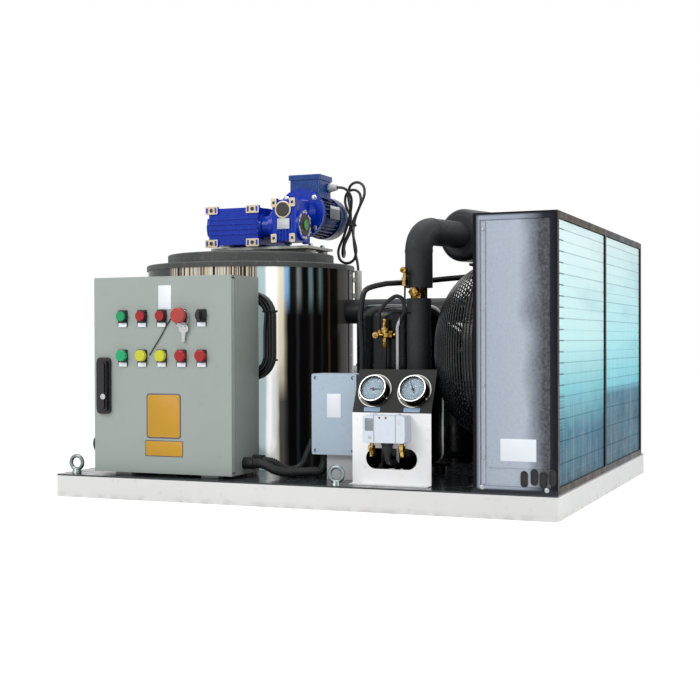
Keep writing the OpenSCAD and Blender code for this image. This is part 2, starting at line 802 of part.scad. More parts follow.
module cabinet_body() {
    foot = [48, 30];
    stud = 14;
    color("lightgray") {
        difference() {
            block(cab_x0, cab_x1, body_front, cab_back, cab_z0, cab_z1);
            block(cab_x0 + cab_wall, cab_x1 - cab_wall, body_front + cab_wall, cab_back - cab_wall,
                cab_z0 + cab_wall, cab_z1 - cab_wall);
            block(cab_x0 + lip_w, cab_x1 - lip_w, body_front - 1, body_front + cab_wall + 1,
                cab_z0 + lip_w, cab_z1 - lip_w);
        }
        for (x = [cab_x0 + 50, cab_x1 - 50 - foot[0]], y = [body_front + 2, cab_back - foot[1] - 10]) {
            translate([x, y, base_h]) cube([foot[0], foot[1], cab_feet_h]);
        }
        for (x = [cab_x0 + 50, cab_x1 - 50], z = [cab_z0 + 50, cab_z1 - 50]) {
            along_y(x, cab_back - cab_wall - stud, z) cylinder(d = 10, h = stud + 1);
        }
        hinge_tab(cab_z1 - pan_wall - 0.5 - tab_t, 1);
        hinge_tab(cab_z0 + pan_wall + 0.5, -1);
        // Cable entries: two on the right side, two on the left side, one at the back
        for (e = [[conduit_a[0], 15], [conduit_b[0], 15]]) {
            along_x(cab_x1 - 1, e[0].y, e[0].z) cylinder(r = e[1], h = e[0].x - cab_x1 + 1 - seat);
        }
        along_x(cab_x0 - left_gland_l, left_cord[8].y, left_cord[8].z) cylinder(r = 9, h = left_gland_l + 1);
    }
}

panel_y1 = cab_back - cab_wall - 14;
mount_t = 2.5;

module mounting_panel() {
    color("gainsboro") difference() {
        block(cab_x0 + 30, cab_x1 - 30, panel_y1 - mount_t - seat, panel_y1 - seat, cab_z0 + 30, cab_z1 - 30);
        for (x = [cab_x0 + 50, cab_x1 - 50], z = [cab_z0 + 50, cab_z1 - 50]) {
            along_y(x, panel_y1 - 10, z) cylinder(d = 6, h = 20);
        }
    }
}

// Breakers, contactors and terminal strip on their rails, with slotted wire ducts beside them
module control_gear() {
    gear_back = panel_y1 - mount_t - seat;
    row_x = cab_x0 + 80;
    color("#3a3d40") {
        for (i = [0:3]) {
            block(row_x + i * 58, row_x + i * 58 + 50, gear_back - 56, gear_back, cab_z0 + 330, cab_z0 + 410);
        }
        for (i = [0:4]) {
            block(row_x + i * 47, row_x + i * 47 + 43, gear_back - 58, gear_back, cab_z0 + 195, cab_z0 + 275);
        }
        block(row_x, row_x + 230, gear_back - 38, gear_back, cab_z0 + 76, cab_z0 + 122);
        for (z = [cab_z0 + 140, cab_z0 + 288, cab_z0 + 422]) {
            block(cab_x0 + 72, cab_x1 - 72, gear_back - 44, gear_back, z, z + 32);
        }
    }
}

module cabinet_cables() {
    strand = hank_strand;
    color("#161616") {
        along_y(hank[0], cab_back + seat, hank[1]) linear_extrude(drum_gap * 0.6) difference() {
            rounded_rect(hank_size[0], hank_size[1], hank_size[0] / 2 - 1);
            rounded_rect(hank_size[0] - 2 * strand, hank_size[1] - 2 * strand, hank_size[0] / 2 - strand - 1);
        }
        swept(smooth(left_cord, 2), left_cord_d / 2);
    }
}

module conduits() {
    color("#1b1b1b") {
        swept(smooth(conduit_a, 2), conduit_d / 2);
        swept(smooth(conduit_b, 2), conduit_d / 2 - 2);
    }
}

module cabinet_door() {
    notch = 8;
    color("lightgray") difference() {
        block(cab_x0, cab_x1, cab_front, cab_front + door_t, cab_z0, cab_z1);
        block(cab_x0 + pan_wall, cab_x1 - pan_wall, cab_front + pan_wall, cab_front + door_t + 1,
            cab_z0 + pan_wall, cab_z1 - pan_wall);
        for (x = control_x, z = [button_z, lamp_z]) {
            along_y(x, cab_front - 1, z) cylinder(d = barrel_d + 2 * slide_fit, h = 4);
        }
        along_y(handle_x, cab_front - 1, handle_z) cylinder(d = handle_hub_d + 2 * slide_fit, h = 4);
        for (z = [cab_z0 - 1, cab_z1 - pan_wall - 0.5]) {
            translate([hinge_x, hinge_y, z]) cylinder(d = hinge_pin_d + 2 * run_fit, h = pan_wall + 1.5);
        }
        // Room in the edge for the hinge tabs as the door swings
        for (z = [cab_z0 + pan_wall, cab_z1 - pan_wall - notch]) {
            block(cab_x1 - pan_wall - 1, cab_x1 + 1, hinge_y - 6.5, cab_front + door_t + 1, z, z + notch);
        }
    }
}

module legend_plate() {
    translate([0, -6, 0]) linear_extrude(legend_t) rounded_rect(lens_d - 1, lens_d + 14, 3);
}

// Body of a push button, stop or selector: legend plate, collar, barrel and contact block
module switch_body() {
    difference() {
        union() {
            legend_plate();
            cylinder(d = collar_d, h = collar_h);
            translate([0, 0, -door_t - 2]) cylinder(d = barrel_d, h = door_t + 3);
            translate([-14, -20, -door_t - 34]) cube([28, 40, 32]);
        }
        translate([0, 0, floor_z]) cylinder(d = cap_d + 2 * slide_fit, h = collar_h);
        translate([0, 0, -stem_in - 6]) cylinder(d = stem_d + 2 * run_fit, h = stem_in + 6 + floor_z + 1);
    }
}

module lamp_body() {
    legend_plate();
    cylinder(d = lens_d - 3, h = 5);
    translate([0, 0, -door_t - 2]) cylinder(d = barrel_d, h = door_t + 3);
    translate([-14, -14, -door_t - 30]) cube([28, 28, 28]);
}

module control_bodies() {
    color("#1c1d1f") for (x = control_x) {
        on_door(x, button_z) switch_body();
        on_door(x, lamp_z) lamp_body();
    }
}

// Domed lens of a pilot lamp
module lamp_lens(i) {
    on_door(control_x[i], lamp_z) translate([0, 0, 5]) rotate_extrude() {
        square([lens_d / 2, 8]);
        square([lens_d / 2 - 3, 11]);
        translate([lens_d / 2 - 3, 8]) circle(3, $fn = 24);
    }
}

module green_lamp() {
    color("green") lamp_lens(0);
}

module yellow_lamps() {
    color("gold") for (i = [1, 2]) lamp_lens(i);
}

module red_lamps() {
    color("red") for (i = [3, 4]) lamp_lens(i);
}

// Push button cap on its stem, at rest with its full travel left
module button(i) {
    on_door(control_x[i], button_z) {
        translate([0, 0, cap_rest]) cylinder(d = cap_d, h = 7);
        stem();
    }
}

// Stem of a button or knob, from inside the barrel up into the cap
module stem() {
    translate([0, 0, -stem_in]) cylinder(d = stem_d, h = stem_in + cap_rest + 1);
}

module start_button() {
    color("green") button(0);
}

module stop_button() {
    color("red") button(1);
}

module reset_button() {
    color("red") button(2);
}

module emergency_stop() {
    skirt_z = collar_h + button_travel + 1;
    color("red") on_door(control_x[3], button_z) {
        translate([0, 0, skirt_z]) rotate_extrude() {
            square([mushroom_d / 2, 7]);
            square([mushroom_d / 2 - 4, 11]);
            translate([mushroom_d / 2 - 4, 7]) circle(4, $fn = 24);
        }
        translate([0, 0, cap_rest]) cylinder(d = cap_d - 2, h = skirt_z - cap_rest + 1);
        stem();
    }
}

module selector_knob() {
    color("#151515") on_door(control_x[4], button_z) {
        translate([0, 0, floor_z + 0.5]) cylinder(d = cap_d, h = 7);
        stem();
        translate([0, 0, collar_h]) linear_extrude(13) rounded_rect(9, cap_d - 1, 4);
    }
}

// Two keys on a wire ring, hung from the emergency stop's collar
module keys() {
    bow_d = 20;
    drop = 26;
    color("silver") on_door(control_x[3], button_z) {
        translate([0, -6, collar_h / 2 + 0.5]) rotate_extrude()
            translate([collar_d / 2 + 7, 0]) circle(d = 1.6, $fn = 16);
        for (k = [[4, 8, 5], [14, -10, 7]]) {
            translate([k[0], -collar_d / 2 - 13, k[2] - 1]) rotate([0, 0, k[1]]) difference() {
                linear_extrude(2) {
                    translate([0, -bow_d / 2 + 5]) circle(d = bow_d);
                    translate([-4, -bow_d - drop + 8]) square([8, drop]);
                }
                translate([0, 0, -1]) cylinder(d = 5, h = 4);
            }
        }
    }
}

handle_w = 40;
lever_w = 30;

module handle_base() {
    color("#111111") on_door(handle_x, handle_z - handle_l / 2 + 18) difference() {
        linear_extrude(handle_plate_t) rounded_rect(handle_w, handle_l, 9);
        translate([0, handle_l / 2 - 18, -1])
            cylinder(d = handle_hub_d + 2 * run_fit, h = handle_plate_t + 2);
    }
}

// Swing lever with its spindle and the cam behind the door
module door_handle() {
    lever_l = handle_l - 14;
    cam_y = door_t + 5;
    color("#161616") on_door(handle_x, handle_z) {
        translate([0, 0, -cam_y]) cylinder(d = handle_hub_d, h = cam_y + handle_plate_t + 2);
        translate([0, -lever_l / 2 + 11, handle_plate_t + slide_fit]) {
            linear_extrude(9) rounded_rect(lever_w, lever_l, 7);
            linear_extrude(13) rounded_rect(lever_w - 9, lever_l - 10, 7);
        }
        translate([-lip_w, -7, -cam_y]) cube([lip_w, 14, 3]);
    }
}

// Junction box on its bracket

module junction_box() {
    x0 = jbox_x0 + 34;
    x1 = jbox_x1 - 8;
    y0 = jbox_y + cover_h;
    y1 = jbox_y + jbox_d;
    bracket_t = 4;
    bracket_foot = 30;
    color("lightsteelblue") {
        difference() {
            block(jbox_x0, jbox_x1, y0, y1, jbox_z, jbox_z + jbox_h);
            block(jbox_x0 + 3, jbox_x1 - 3, y0 - 1, y1 - 3, jbox_z + 3, jbox_z + jbox_h - 3);
        }
        // Folded bracket down to the deck
        block(x0, x1, y0, y0 + bracket_t, base_h, jbox_z + 0.5);
        block(x0, x1, y0, y1 - 20, jbox_z - bracket_t, jbox_z + 0.5);
        block(x0, x1, y0, y0 + bracket_foot, base_h, base_h + bracket_t);
    }
}

module junction_cover() {
    screw_in = 10;
    color("lightsteelblue") difference() {
        translate([(jbox_x0 + jbox_x1) / 2, jbox_y + cover_h - seat, jbox_z + jbox_h / 2]) rotate([90, 0, 0])
            linear_extrude(cover_h - seat) rounded_rect(jbox_w, jbox_h, 4);
        for (x = [jbox_x0 + screw_in, jbox_x1 - screw_in],
            z = [jbox_z + screw_in, jbox_z + jbox_h - screw_in]) {
            along_y(x, jbox_y - 1, z) cylinder(d = 9, h = 7);
        }
    }
}

// Gauge panel

slot_w = 130;
slot_h = 50;
slot_z = base_h + 62;

module gauge_panel() {
    x0 = panel_x - panel_w / 2;
    x1 = panel_x + panel_w / 2;
    foot = 25;
    top_flange = 18;
    color("silver") difference() {
        union() {
            block(x0, x1, panel_y - foot, panel_y + panel_t, base_h, base_h + panel_t);
            block(x0, x1, panel_y, panel_y + panel_t, base_h, slope_z);
            on_slope(panel_x, 0) translate([-panel_w / 2, -0.4, -panel_t]) cube([panel_w, slope_l, panel_t]);
            on_slope(panel_x, slope_l) translate([-panel_w / 2, -panel_t, -top_flange])
                cube([panel_w, panel_t, top_flange]);
        }
        for (x = gauge_x) {
            on_slope(x, gauge_up) translate([0, 0, -panel_t - 5]) cylinder(d = gauge_d - 6, h = panel_t + 10);
        }
        along_y(panel_x, panel_y - 5, slot_z) linear_extrude(12)
            rounded_rect(slot_w, slot_h, slot_h / 2 - 0.5);
    }
}

module gauge_cases() {
    flange_d = gauge_d + 17;
    rim = 3;
    color("silver") for (x = gauge_x) {
        on_slope(x, gauge_up) difference() {
            union() {
                cylinder(d = flange_d, h = 2);
                cylinder(d = gauge_d, h = gauge_front);
                translate([0, 0, -26]) cylinder(d = gauge_d - 7, h = 27);
                translate([0, 0, -40]) cylinder(d = 12, h = 15);
            }
            difference() {
                translate([0, 0, gauge_front - dial_depth])
                    cylinder(d = gauge_d - 4 * rim, h = dial_depth + 1);
                translate([0, 0, gauge_front - dial_depth - 1]) cylinder(d = 4, h = 5);
            }
            translate([0, 0, gauge_front - lens_t - 2]) cylinder(d = gauge_d - 2 * rim, h = lens_t + 3);
        }
    }
}

module gauge_lenses() {
    color("lightcyan", 0.4) for (x = gauge_x) {
        on_slope(x, gauge_up) translate([0, 0, gauge_front - lens_t - 2])
            cylinder(d = gauge_d - 6.4, h = lens_t);
    }
}

// Pointer on the dial's spindle, turned from the dial's top by its resting angle
needle_turn = [-90, 25];

module needle(i) {
    on_slope(gauge_x[i], gauge_up) translate([0, 0, gauge_front - dial_depth + 1.5])
        rotate([0, 0, needle_turn[i]])
            difference() {
        union() {
            cylinder(d = 8, h = 2);
            linear_extrude(1.2) polygon([[-1.4, -10], [1.4, -10], [0.4, 24], [-0.4, 24]]);
        }
        translate([0, 0, -1]) cylinder(d = 4 + 2 * run_fit, h = 5);
    }
}

module low_needle() {
    color("black") needle(0);
}

module high_needle() {
    color("black") needle(1);
}

ctrl_w = 106;
ctrl_d = 45;
ctrl_h = 64;
ctrl_x = panel_x - 3;
ctrl_z = slope_z - 4 - ctrl_h;

module pressure_controller() {
    color("whitesmoke") {
        translate([ctrl_x, panel_y, ctrl_z]) rotate([90, 0, 0]) translate([0, ctrl_h / 2, 0])
            linear_extrude(ctrl_d) rounded_rect(ctrl_w, ctrl_h, 5);
        for (dx = [-30, 30]) {
            translate([ctrl_x + dx, panel_y - ctrl_d / 2, ctrl_z + ctrl_h - 1]) cylinder(r = 6, h = 5);
        }
    }
}

fitting_x = [ctrl_x - 38, ctrl_x + 38];
liquid_r = 5;
valve_x = comp_x + 11;
line_x = comp_x + 45;
hose_x = valve_x - 16;
group_y = riser_y - 15;
group_z = base_h + 327;
hose_nut_h = 13;
access = [-22, -41];
access_z = valve_z + valve_h + 4;
nut_r = 22;

module brass_valves() {
    color("goldenrod") {
        // Flare fittings under the pressure controller
        for (x = fitting_x) {
            translate([x, panel_y - ctrl_d / 2, ctrl_z - 34]) {
                cylinder(r = 5, h = 34);
                translate([0, 0, 12]) cylinder(r = 9, h = 14, $fn = 6);
            }
        }
        // Suction valve between the column and the riser, with its capped stem at the front
        translate([riser_x, riser_y, valve_z]) cylinder(r = nut_r, h = valve_h, $fn = 6);
        translate([riser_x - 2, riser_y, valve_z + 15]) rotate([90, 0, 0]) {
            cylinder(r = 8.5, h = 36);
            translate([0, 0, 26]) cylinder(r = 12, h = 14, $fn = 6);
        }
        // Access valve on the side of the riser, with its cap at the front
        translate([riser_x + access.x, riser_y + access.y, access_z]) {
            cylinder(r = 8.5, h = 20, $fn = 6);
            cylinder(r = 5, h = 44);
            translate([0, 0, 38]) rotate([90, 0, 0]) cylinder(r = 7.5, h = 15);
            translate([0, 0, 32]) rotate([0, 90, atan2(-access.y, -access.x)])
                cylinder(r = 4, h = norm(access) - riser_r - seat);
        }
        // Liquid valve: stem up, capped port at the front, hose nut, and outlet to the pipe on the right
        translate([valve_x, group_y, group_z]) {
            cylinder(r = 6, h = 70);
            translate([0, 0, 36]) cylinder(r = 10, h = 12, $fn = 6);
        }
        along_x(valve_x - 20, group_y, group_z + 30) {
            cylinder(r = 4.5, h = line_x - liquid_r - seat - valve_x + 20);
            translate([0, 0, 22]) cylinder(r = 10, h = 20, $fn = 6);
        }
        translate([valve_x - 20, group_y, group_z + 30]) rotate([90, 0, 0]) cylinder(r = 7.5, h = 14);
        translate([hose_x, group_y, group_z + 30]) rotate([0, 0, 30])
            cylinder(r = 6.5, h = hose_nut_h, $fn = 6);
    }
}

// Refrigeration set

module compressor() {
    dome = 36;
    foot_r = 20;
    color("#191919") translate([comp_x, comp_y, 0]) {
        translate([0, 0, comp_z]) rotate_extrude($fn = 96) {
            translate([0, dome]) square([comp_r, comp_h - 2 * dome]);
            square([comp_r - dome, comp_h]);
            intersection() {
                translate([comp_r - dome, 0]) square([dome, comp_h]);
                union() {
                    translate([comp_r - dome, dome]) circle(dome);
                    translate([comp_r - dome, comp_h - dome]) circle(dome);
                }
            }
            translate([0, comp_h * 0.62]) square([comp_r + 2, 7]);
        }
        // Feet on rubber mounts
        for (a = [45:90:315]) {
            rotate([0, 0, a]) {
                block(comp_r - 50, comp_r + 22, -22, 22, comp_z - 4, comp_z + 2);
                translate([comp_r + 2, 0, base_h]) cylinder(r = foot_r - 4, h = comp_z - base_h - 2);
            }
        }
        // Terminal cover on the left
        translate([-comp_r - 24, 0, comp_z + comp_h * 0.42]) rotate([90, 0, 90])
            linear_extrude(44) rounded_rect(70, 96, 8);
    }
}

// Quarter bend about +Y that takes +Z to +X, with its entry at the origin
module bend(r, radius) {
    translate([radius, 0, 0]) rotate([90, 0, 0]) rotate([0, 0, 90])
        rotate_extrude(angle = 90) translate([radius, 0]) circle(r);
}

column_r = 30;
band_h = 8;
band_t = 0.8;

// Band over the joint of two lengths of pipe insulation
module band(r) {
    translate([0, 0, -band_h / 2]) cylinder(r = r + band_t, h = band_h);
}

module suction_line() {
    column_z = base_h + 270;
    column_bend = 40;
    turn = 90 - accum_turn;
    shell_turn = atan2(comp_y - riser_y, comp_x - riser_x);
    shell_gap = norm([comp_x - riser_x, comp_y - riser_y]) - comp_r;
    color("#1d1d1f") {
        // Column from the compressor's side up to the valve
        difference() {
            translate([riser_x, riser_y, column_z]) {
                cylinder(r = column_r, h = valve_z - column_z);
                band(column_r);
                rotate([0, 0, shell_turn]) mirror([0, 0, 1]) {
                    bend(column_r, column_bend);
                    translate([column_bend, 0, column_bend]) rotate([0, 90, 0]) {
                        cylinder(r = column_r, h = shell_gap - column_bend + 10);
                        band(column_r);
                    }
                }
            }
            translate([comp_x, comp_y, 0]) cylinder(r = comp_r + seat, h = 2 * comp_h);
        }
        // Riser, its bend and the accumulator
        translate([riser_x, riser_y, valve_z + valve_h]) {
            cylinder(r = riser_r, h = leg_z - bend_r - valve_z - valve_h);
        }
        translate([riser_x, riser_y, leg_z - bend_r]) rotate([0, 0, turn]) {
            bend(riser_r, bend_r);
            band(riser_r);
            translate([bend_r, 0, bend_r]) rotate([0, 90, 0]) {
                cylinder(r = riser_r, h = accum_from - bend_r + 1);
                band(riser_r);
            }
            translate([accum_from, 0, bend_r]) rotate([0, 90, 0]) rotate_extrude($fn = 96) {
                square([accum_r - 20, accum_l]);
                translate([0, 20]) square([accum_r, accum_l - 40]);
                for (z = [20, accum_l - 20]) translate([accum_r - 20, z]) circle(20);
            }
        }
        // Pipe from the drum, with its bend up into the accumulator
        difference() {
            union() {
                along_x(drum_x + drum_r - 40, evap_pipe_y, evap_pipe_z)
                    cylinder(r = riser_r, h = evap_pipe_x - bend_r - drum_x - drum_r + 40);
                translate([evap_pipe_x, evap_pipe_y, evap_pipe_z + bend_r]) rotate([0, 0, 180])
                    mirror([0, 0, 1]) bend(riser_r, bend_r);
                along_x(evap_pipe_x - bend_r, evap_pipe_y, evap_pipe_z) band(riser_r);
                translate([evap_pipe_x, evap_pipe_y, evap_pipe_z + bend_r]) {
                    cylinder(r = riser_r, h = leg_z - evap_pipe_z - bend_r);
                    band(riser_r);
                }
            }
            translate([drum_x, drum_y, 0]) cylinder(r = drum_r + jacket_t + seat, h = 2 * drum_h);
        }
    }
}

module liquid_receiver() {
    foot_h = 10;
    dome = 24;
    color("#1a1a1a") translate([receiver_x, receiver_y, base_h]) {
        cylinder(r = receiver_r - 16, h = foot_h + dome);
        translate([0, 0, foot_h]) rotate_extrude($fn = 96) {
            square([receiver_r - dome, receiver_h]);
            translate([0, dome]) square([receiver_r, receiver_h - 2 * dome]);
            for (z = [dome, receiver_h - dome]) translate([receiver_r - dome, z]) circle(dome);
        }
        for (dx = [-34, 34]) translate([dx, 0, receiver_h]) cylinder(r = 8, h = 34);
    }
}

discharge_r = 7;

module refrigerant_tubes() {
    out_x = comp_x - 58;
    out_y = comp_y - comp_r - 8;
    top_z = base_h + 482;
    port_turn = 236;
    port_z = base_h + 160;
    end_y = riser_y + 184;
    end_z = top_z + 56;
    stub_x = receiver_x - 34;
    stub_z = base_h + receiver_h + 34;
    down_x = receiver_x - 106;
    deck_x = (drum_x + drum_r + comp_x - comp_r) / 2;
    deck_z = base_h + 8;
    panel_back = riser_y - 20;
    function port_out(gap) =
        [comp_x + (comp_r + gap) * cos(port_turn), comp_y + (comp_r + gap) * sin(port_turn), port_z];
    function column_side(gap) = let(v = unit(access) * (column_r + gap))
        [riser_x + v.x, riser_y + v.y, valve_z - 36];
    color("#202022") {
        // Discharge pipe from the compressor over to the condenser
        swept(smooth([
            port_out(0.4), port_out(7), port_out(14),
            [out_x, out_y, port_z + 26], [out_x, out_y, port_z + 60],
            [out_x, out_y, base_h + 320], [out_x, out_y, top_z - 40], [out_x + 8, out_y + 4, top_z - 12],
            [out_x + 34, out_y + 16, top_z], [riser_x - 56, riser_y + 60, top_z + 8],
            [riser_x + 34, riser_y + 120, top_z + 18], [cond_x0 - 90, riser_y + 168, top_z + 30],
            [cond_x0 - 50, riser_y + 181, top_z + 48], [cond_x0 - 26, end_y, end_z],
            [cond_x0 - 11, end_y, end_z], [cond_x0 + 4 - seat, end_y, end_z]
        ], 3), discharge_r);
        // Liquid pipe from the receiver, along the deck and up to the valve
        swept(smooth([
            [stub_x, receiver_y, stub_z + seat], [stub_x, receiver_y, stub_z + 10],
            [stub_x, receiver_y, stub_z + 24],
            [stub_x - 16, receiver_y - 10, stub_z + 46], [stub_x - 56, receiver_y - 20, stub_z + 36],
            [down_x + 2, receiver_y - 20, stub_z - 4], [down_x, receiver_y - 24, base_h + 200],
            [down_x, receiver_y - 26, base_h + 60], [down_x - 2, receiver_y - 38, deck_z + 18],
            [down_x - 5, receiver_y - 60, deck_z + 4], [down_x - 11, receiver_y - 90, deck_z],
            [deck_x + 40, comp_y + 170, deck_z], [deck_x, comp_y + 60, deck_z], [deck_x, comp_y - 60, deck_z],
            [comp_x - 130, comp_y - 116, deck_z], [comp_x - 74, group_y + 5, deck_z + 1],
            [valve_x - 30, group_y, deck_z + 5],
            [valve_x, group_y, deck_z + 40], [valve_x, group_y, base_h + 180],
            [valve_x, group_y, group_z - 14], [valve_x, group_y, group_z - seat]
        ], 2), liquid_r);
        // Pipe beside the valve, from the deck up and over in an arch to the hose nut
        swept(smooth([
            [line_x, group_y, base_h + seat], [line_x, group_y, base_h + 190],
            [line_x, group_y, base_h + 366], [line_x, group_y, base_h + 378],
            [line_x + 8, group_y, base_h + 396], [line_x + 17, group_y, base_h + 414],
            [line_x + 17, group_y, base_h + 434], [line_x + 11, group_y, base_h + 448],
            [line_x - 3, group_y, base_h + 453], [line_x - 18, group_y, base_h + 446],
            [line_x - 34, group_y, base_h + 433], [hose_x + 3, group_y, base_h + 415],
            [hose_x, group_y, base_h + 396], [hose_x, group_y, base_h + 384],
            [hose_x, group_y, group_z + 30 + hose_nut_h + seat]
        ], 3), liquid_r);
        // Thin line from the access valve to the suction column
        swept(smooth([
            [riser_x + access.x, riser_y + access.y, access_z - seat],
            [riser_x + access.x, riser_y + access.y, access_z - 12],
            [riser_x + access.x, riser_y + access.y, valve_z - 12],
            column_side(10), column_side(5), column_side(seat)
        ], 4), 2.5, 8);
        // Thin lines from the gauges
        for (g = [0, 1]) {
            swept(smooth([
                [gauge_x[g], panel_back - 45, base_h + 200], [gauge_x[g], panel_back - 22, base_h + 190],
                [gauge_x[g] - 8, panel_back - 8, base_h + 160],
                [gauge_x[g] - 12, panel_back - 6, base_h + 90],
                [gauge_x[g] - 12, panel_back - 6, base_h + 0.3]
            ], 3), 2.5, 8);
        }
    }
}

// Condenser

module condenser_frame() {
    x = [cond_x0, cond_x1 - post_w];
    y = [cond_y0, (cond_y0 + cond_y1 - post_w) / 2, cond_y1 - post_w];
    color("#2a211d") {
        for (px = x, py = [y[0], y[2]]) {
            block(px, px + post_w, py, py + post_w, base_h, cond_z1);
        }
        block(x[1], x[1] + post_w, y[1], y[1] + post_w, base_h, cond_z1);
        for (px = x, z = [base_h, cond_z1 - post_w]) {
            block(px, px + post_w, cond_y0, cond_y1, z, z + post_w);
        }
        for (py = [y[0], y[2]], z = [base_h, cond_z1 - post_w]) {
            block(cond_x0, cond_x1, py, py + post_w, z, z + post_w);
        }
    }
}

module condenser_panels() {
    x0 = cond_x0 + post_w;
    x1 = cond_x1 - post_w;
    z0 = base_h + post_w;
    z1 = cond_z1 - post_w;
    color("#1c1c20") {
        // Front panel with its access cover and cover strip
        block(x0, x1, cond_y0 + 3, cond_y0 + 3 + cover_t, z0, z1);
        block(x0 + 4, x0 + 12, cond_y0 + 1, cond_y0 + 3.5, z0 + 4, z1 - 4);
        block(x0 + 16, x1 - 2, cond_y0 + 1, cond_y0 + 3.5, z0 + 42, z1 - 2);
        // Back and top panels
        block(x0, x1, cond_y1 - 3 - cover_t, cond_y1 - 3, z0, z1);
        block(x0, x1, cond_y0 + post_w, cond_y1 - post_w, cond_z1 - cover_t - 1, cond_z1 - 1);
    }
}

// Fin pack between its tube sheets, with the return bends of the tubes at the front
module coil() {
    x1 = cond_x1 - 4;
    x0 = x1 - coil_t;
    y0 = cond_y0 + post_w + 4;
    y1 = cond_y1 - post_w - 4;
    z0 = base_h + post_w;
    z1 = cond_z1 - post_w - 2;
    mid = (cond_y0 + cond_y1) / 2;
    half = post_w / 2 + 1;
    rows = floor((z1 - z0 - 30) / 50);
    color("mediumturquoise") difference() {
        block(x0, x1, y0, y1, z0, z1);
        // Room for the middle post
        block(x1 - post_w, x1 + 1, mid - half, mid + half, z0 - 1, z1 + 1);
        // Creases that run along the fin pack
        for (z = [z0 + fin_pitch:fin_pitch:z1 - fin_pitch / 2]) {
            block(x1 - 1.5, x1 + 1, y0 - 1, y1 + 1, z - 0.8, z + 0.8);
        }
    }
    color("peru") for (i = [0:rows - 1]) {
        translate([x0 + coil_t / 2, y0 - 6, z0 + 34 + i * 50]) along_y(0, 0, 0) cylinder(r = 5, h = 6);
    }
}

module fan_shroud() {
    x1 = cond_x0 + 6;
    ring_l = 50;
    color("#1c1c20") {
        difference() {
            block(x1 - cover_t, x1, cond_y0 + post_w, cond_y1 - post_w, base_h + post_w, cond_z1 - post_w);
            for (y = fan_places) {
                along_x(x1 - cover_t - 1, y, fan_z) cylinder(r = fan_r + 8, h = cover_t + 2, $fn = 96);
            }
        }
        for (y = fan_places) {
            along_x(x1 - ring_l, y, fan_z) tube(fan_r + 10, fan_r + 8, ring_l);
        }
        // Gusset that carries the accumulator
        translate([cond_x0 + 4.5, evap_pipe_y - 90, leg_z - accum_r - seat])
            rotate([90, 0, 0]) linear_extrude(6)
            polygon([[0, 0], [-150, 0], [-150, -6], [0, -60]]);
    }
}

// Domed wire guard: rings on a quarter oval, pairs of legs along it, and the plate that holds the fan
guard_hub_r = 62;
function guard_r_at(t) = guard_hub_r + (guard_r - wire_d / 2 - guard_hub_r) * cos(t);
function guard_z_at(t) = (guard_out - wire_d) * sin(t) + wire_d / 2;

module fan_guard(y) {
    rings = 9;
    ring_step = 80 / rings;
    legs = 8;
    leg_gap = 7;
    half = wire_d * 0.36;
    leg_steps = [0:10:90];
    out = [for (t = leg_steps) [guard_r_at(t) + half * cos(t), guard_z_at(t) + half * sin(t)]];
    in = [for (t = [90:-10:0]) [guard_r_at(t) - half * cos(t), guard_z_at(t) - half * sin(t)]];
    along_x(cond_x0 + 4, y, fan_z) mirror([0, 0, 1]) {
        for (i = [0:rings]) {
            translate([0, 0, guard_z_at(i * ring_step)]) rotate_extrude($fn = 96)
                translate([guard_r_at(i * ring_step), 0]) square(wire_d, center = true);
        }
        for (a = [0:legs - 1], side = [-leg_gap, leg_gap]) {
            rotate([0, 0, a * 360 / legs]) translate([0, side + wire_d / 2, 0]) rotate([90, 0, 0])
                linear_extrude(wire_d) polygon(concat(out, in));
        }
        translate([0, 0, guard_out - 10]) cylinder(r = guard_hub_r + 4, h = 10);
        translate([0, 0, spindle_z]) cylinder(d = spindle_d, h = guard_out - spindle_z - 1);
    }
}

module fan_guards() {
    color("#141414") for (y = fan_places) fan_guard(y);
}

spindle_d = 20;
spindle_z = 4;

// External-rotor hub with pitched blades, turning on the guard's spindle
module fan(y) {
    blades = 5;
    hub_r = 55;
    hub_h = 90;
    blade_z = 32;
    blade_w = 110;
    blade_t = 3;
    pitch = 28;
    color("#1a1a1c") along_x(cond_x0 + 4, y, fan_z) mirror([0, 0, 1]) difference() {
        union() {
            translate([0, 0, 2]) cylinder(r = hub_r, h = hub_h);
            for (i = [0:blades - 1]) {
                rotate([0, 0, i * 360 / blades]) intersection() {
                    translate([0, 0, blade_z]) rotate([pitch, 0, 0])
                        translate([hub_r - 8, -blade_w / 2, -blade_t / 2]) cube([fan_r, blade_w, blade_t]);
                    translate([0, 0, -blade_w]) cylinder(r = fan_r, h = 3 * blade_w);
                }
            }
        }
        translate([0, 0, spindle_z - slide_fit]) cylinder(d = spindle_d + 2 * run_fit, h = 2 * hub_h);
    }
}

module front_fan() {
    fan(fan_places[0]);
}

module rear_fan() {
    fan(fan_places[1]);
}

base_skirt();
deck_plate();
lifting_eyes();
drum_jacket();
drum_insulation();
evaporator_wall();
drum_lid();
bottom_spider();
drive_plate();
main_gearbox();
input_gearbox();
gearbox_caps();
motor_housing();
motor_cowl();
terminal_box();
motor_cable();
cable_tube();
main_shaft();
ice_blade();
water_tray();
squeegee();
water_tank();
cabinet_body();
mounting_panel();
control_gear();
cabinet_cables();
conduits();
cabinet_door();
control_bodies();
green_lamp();
yellow_lamps();
red_lamps();
keys();
handle_base();
door_handle();
start_button();
stop_button();
reset_button();
emergency_stop();
selector_knob();
junction_box();
junction_cover();
gauge_panel();
gauge_cases();
gauge_lenses();
low_needle();
high_needle();
pressure_controller();
brass_valves();
compressor();
suction_line();
liquid_receiver();
refrigerant_tubes();
condenser_frame();
condenser_panels();
coil();
fan_shroud();
fan_guards();
front_fan();
rear_fan();
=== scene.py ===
from itertools import product
from math import cos, pi, radians, sin

import bpy
from mathutils import Matrix, Vector


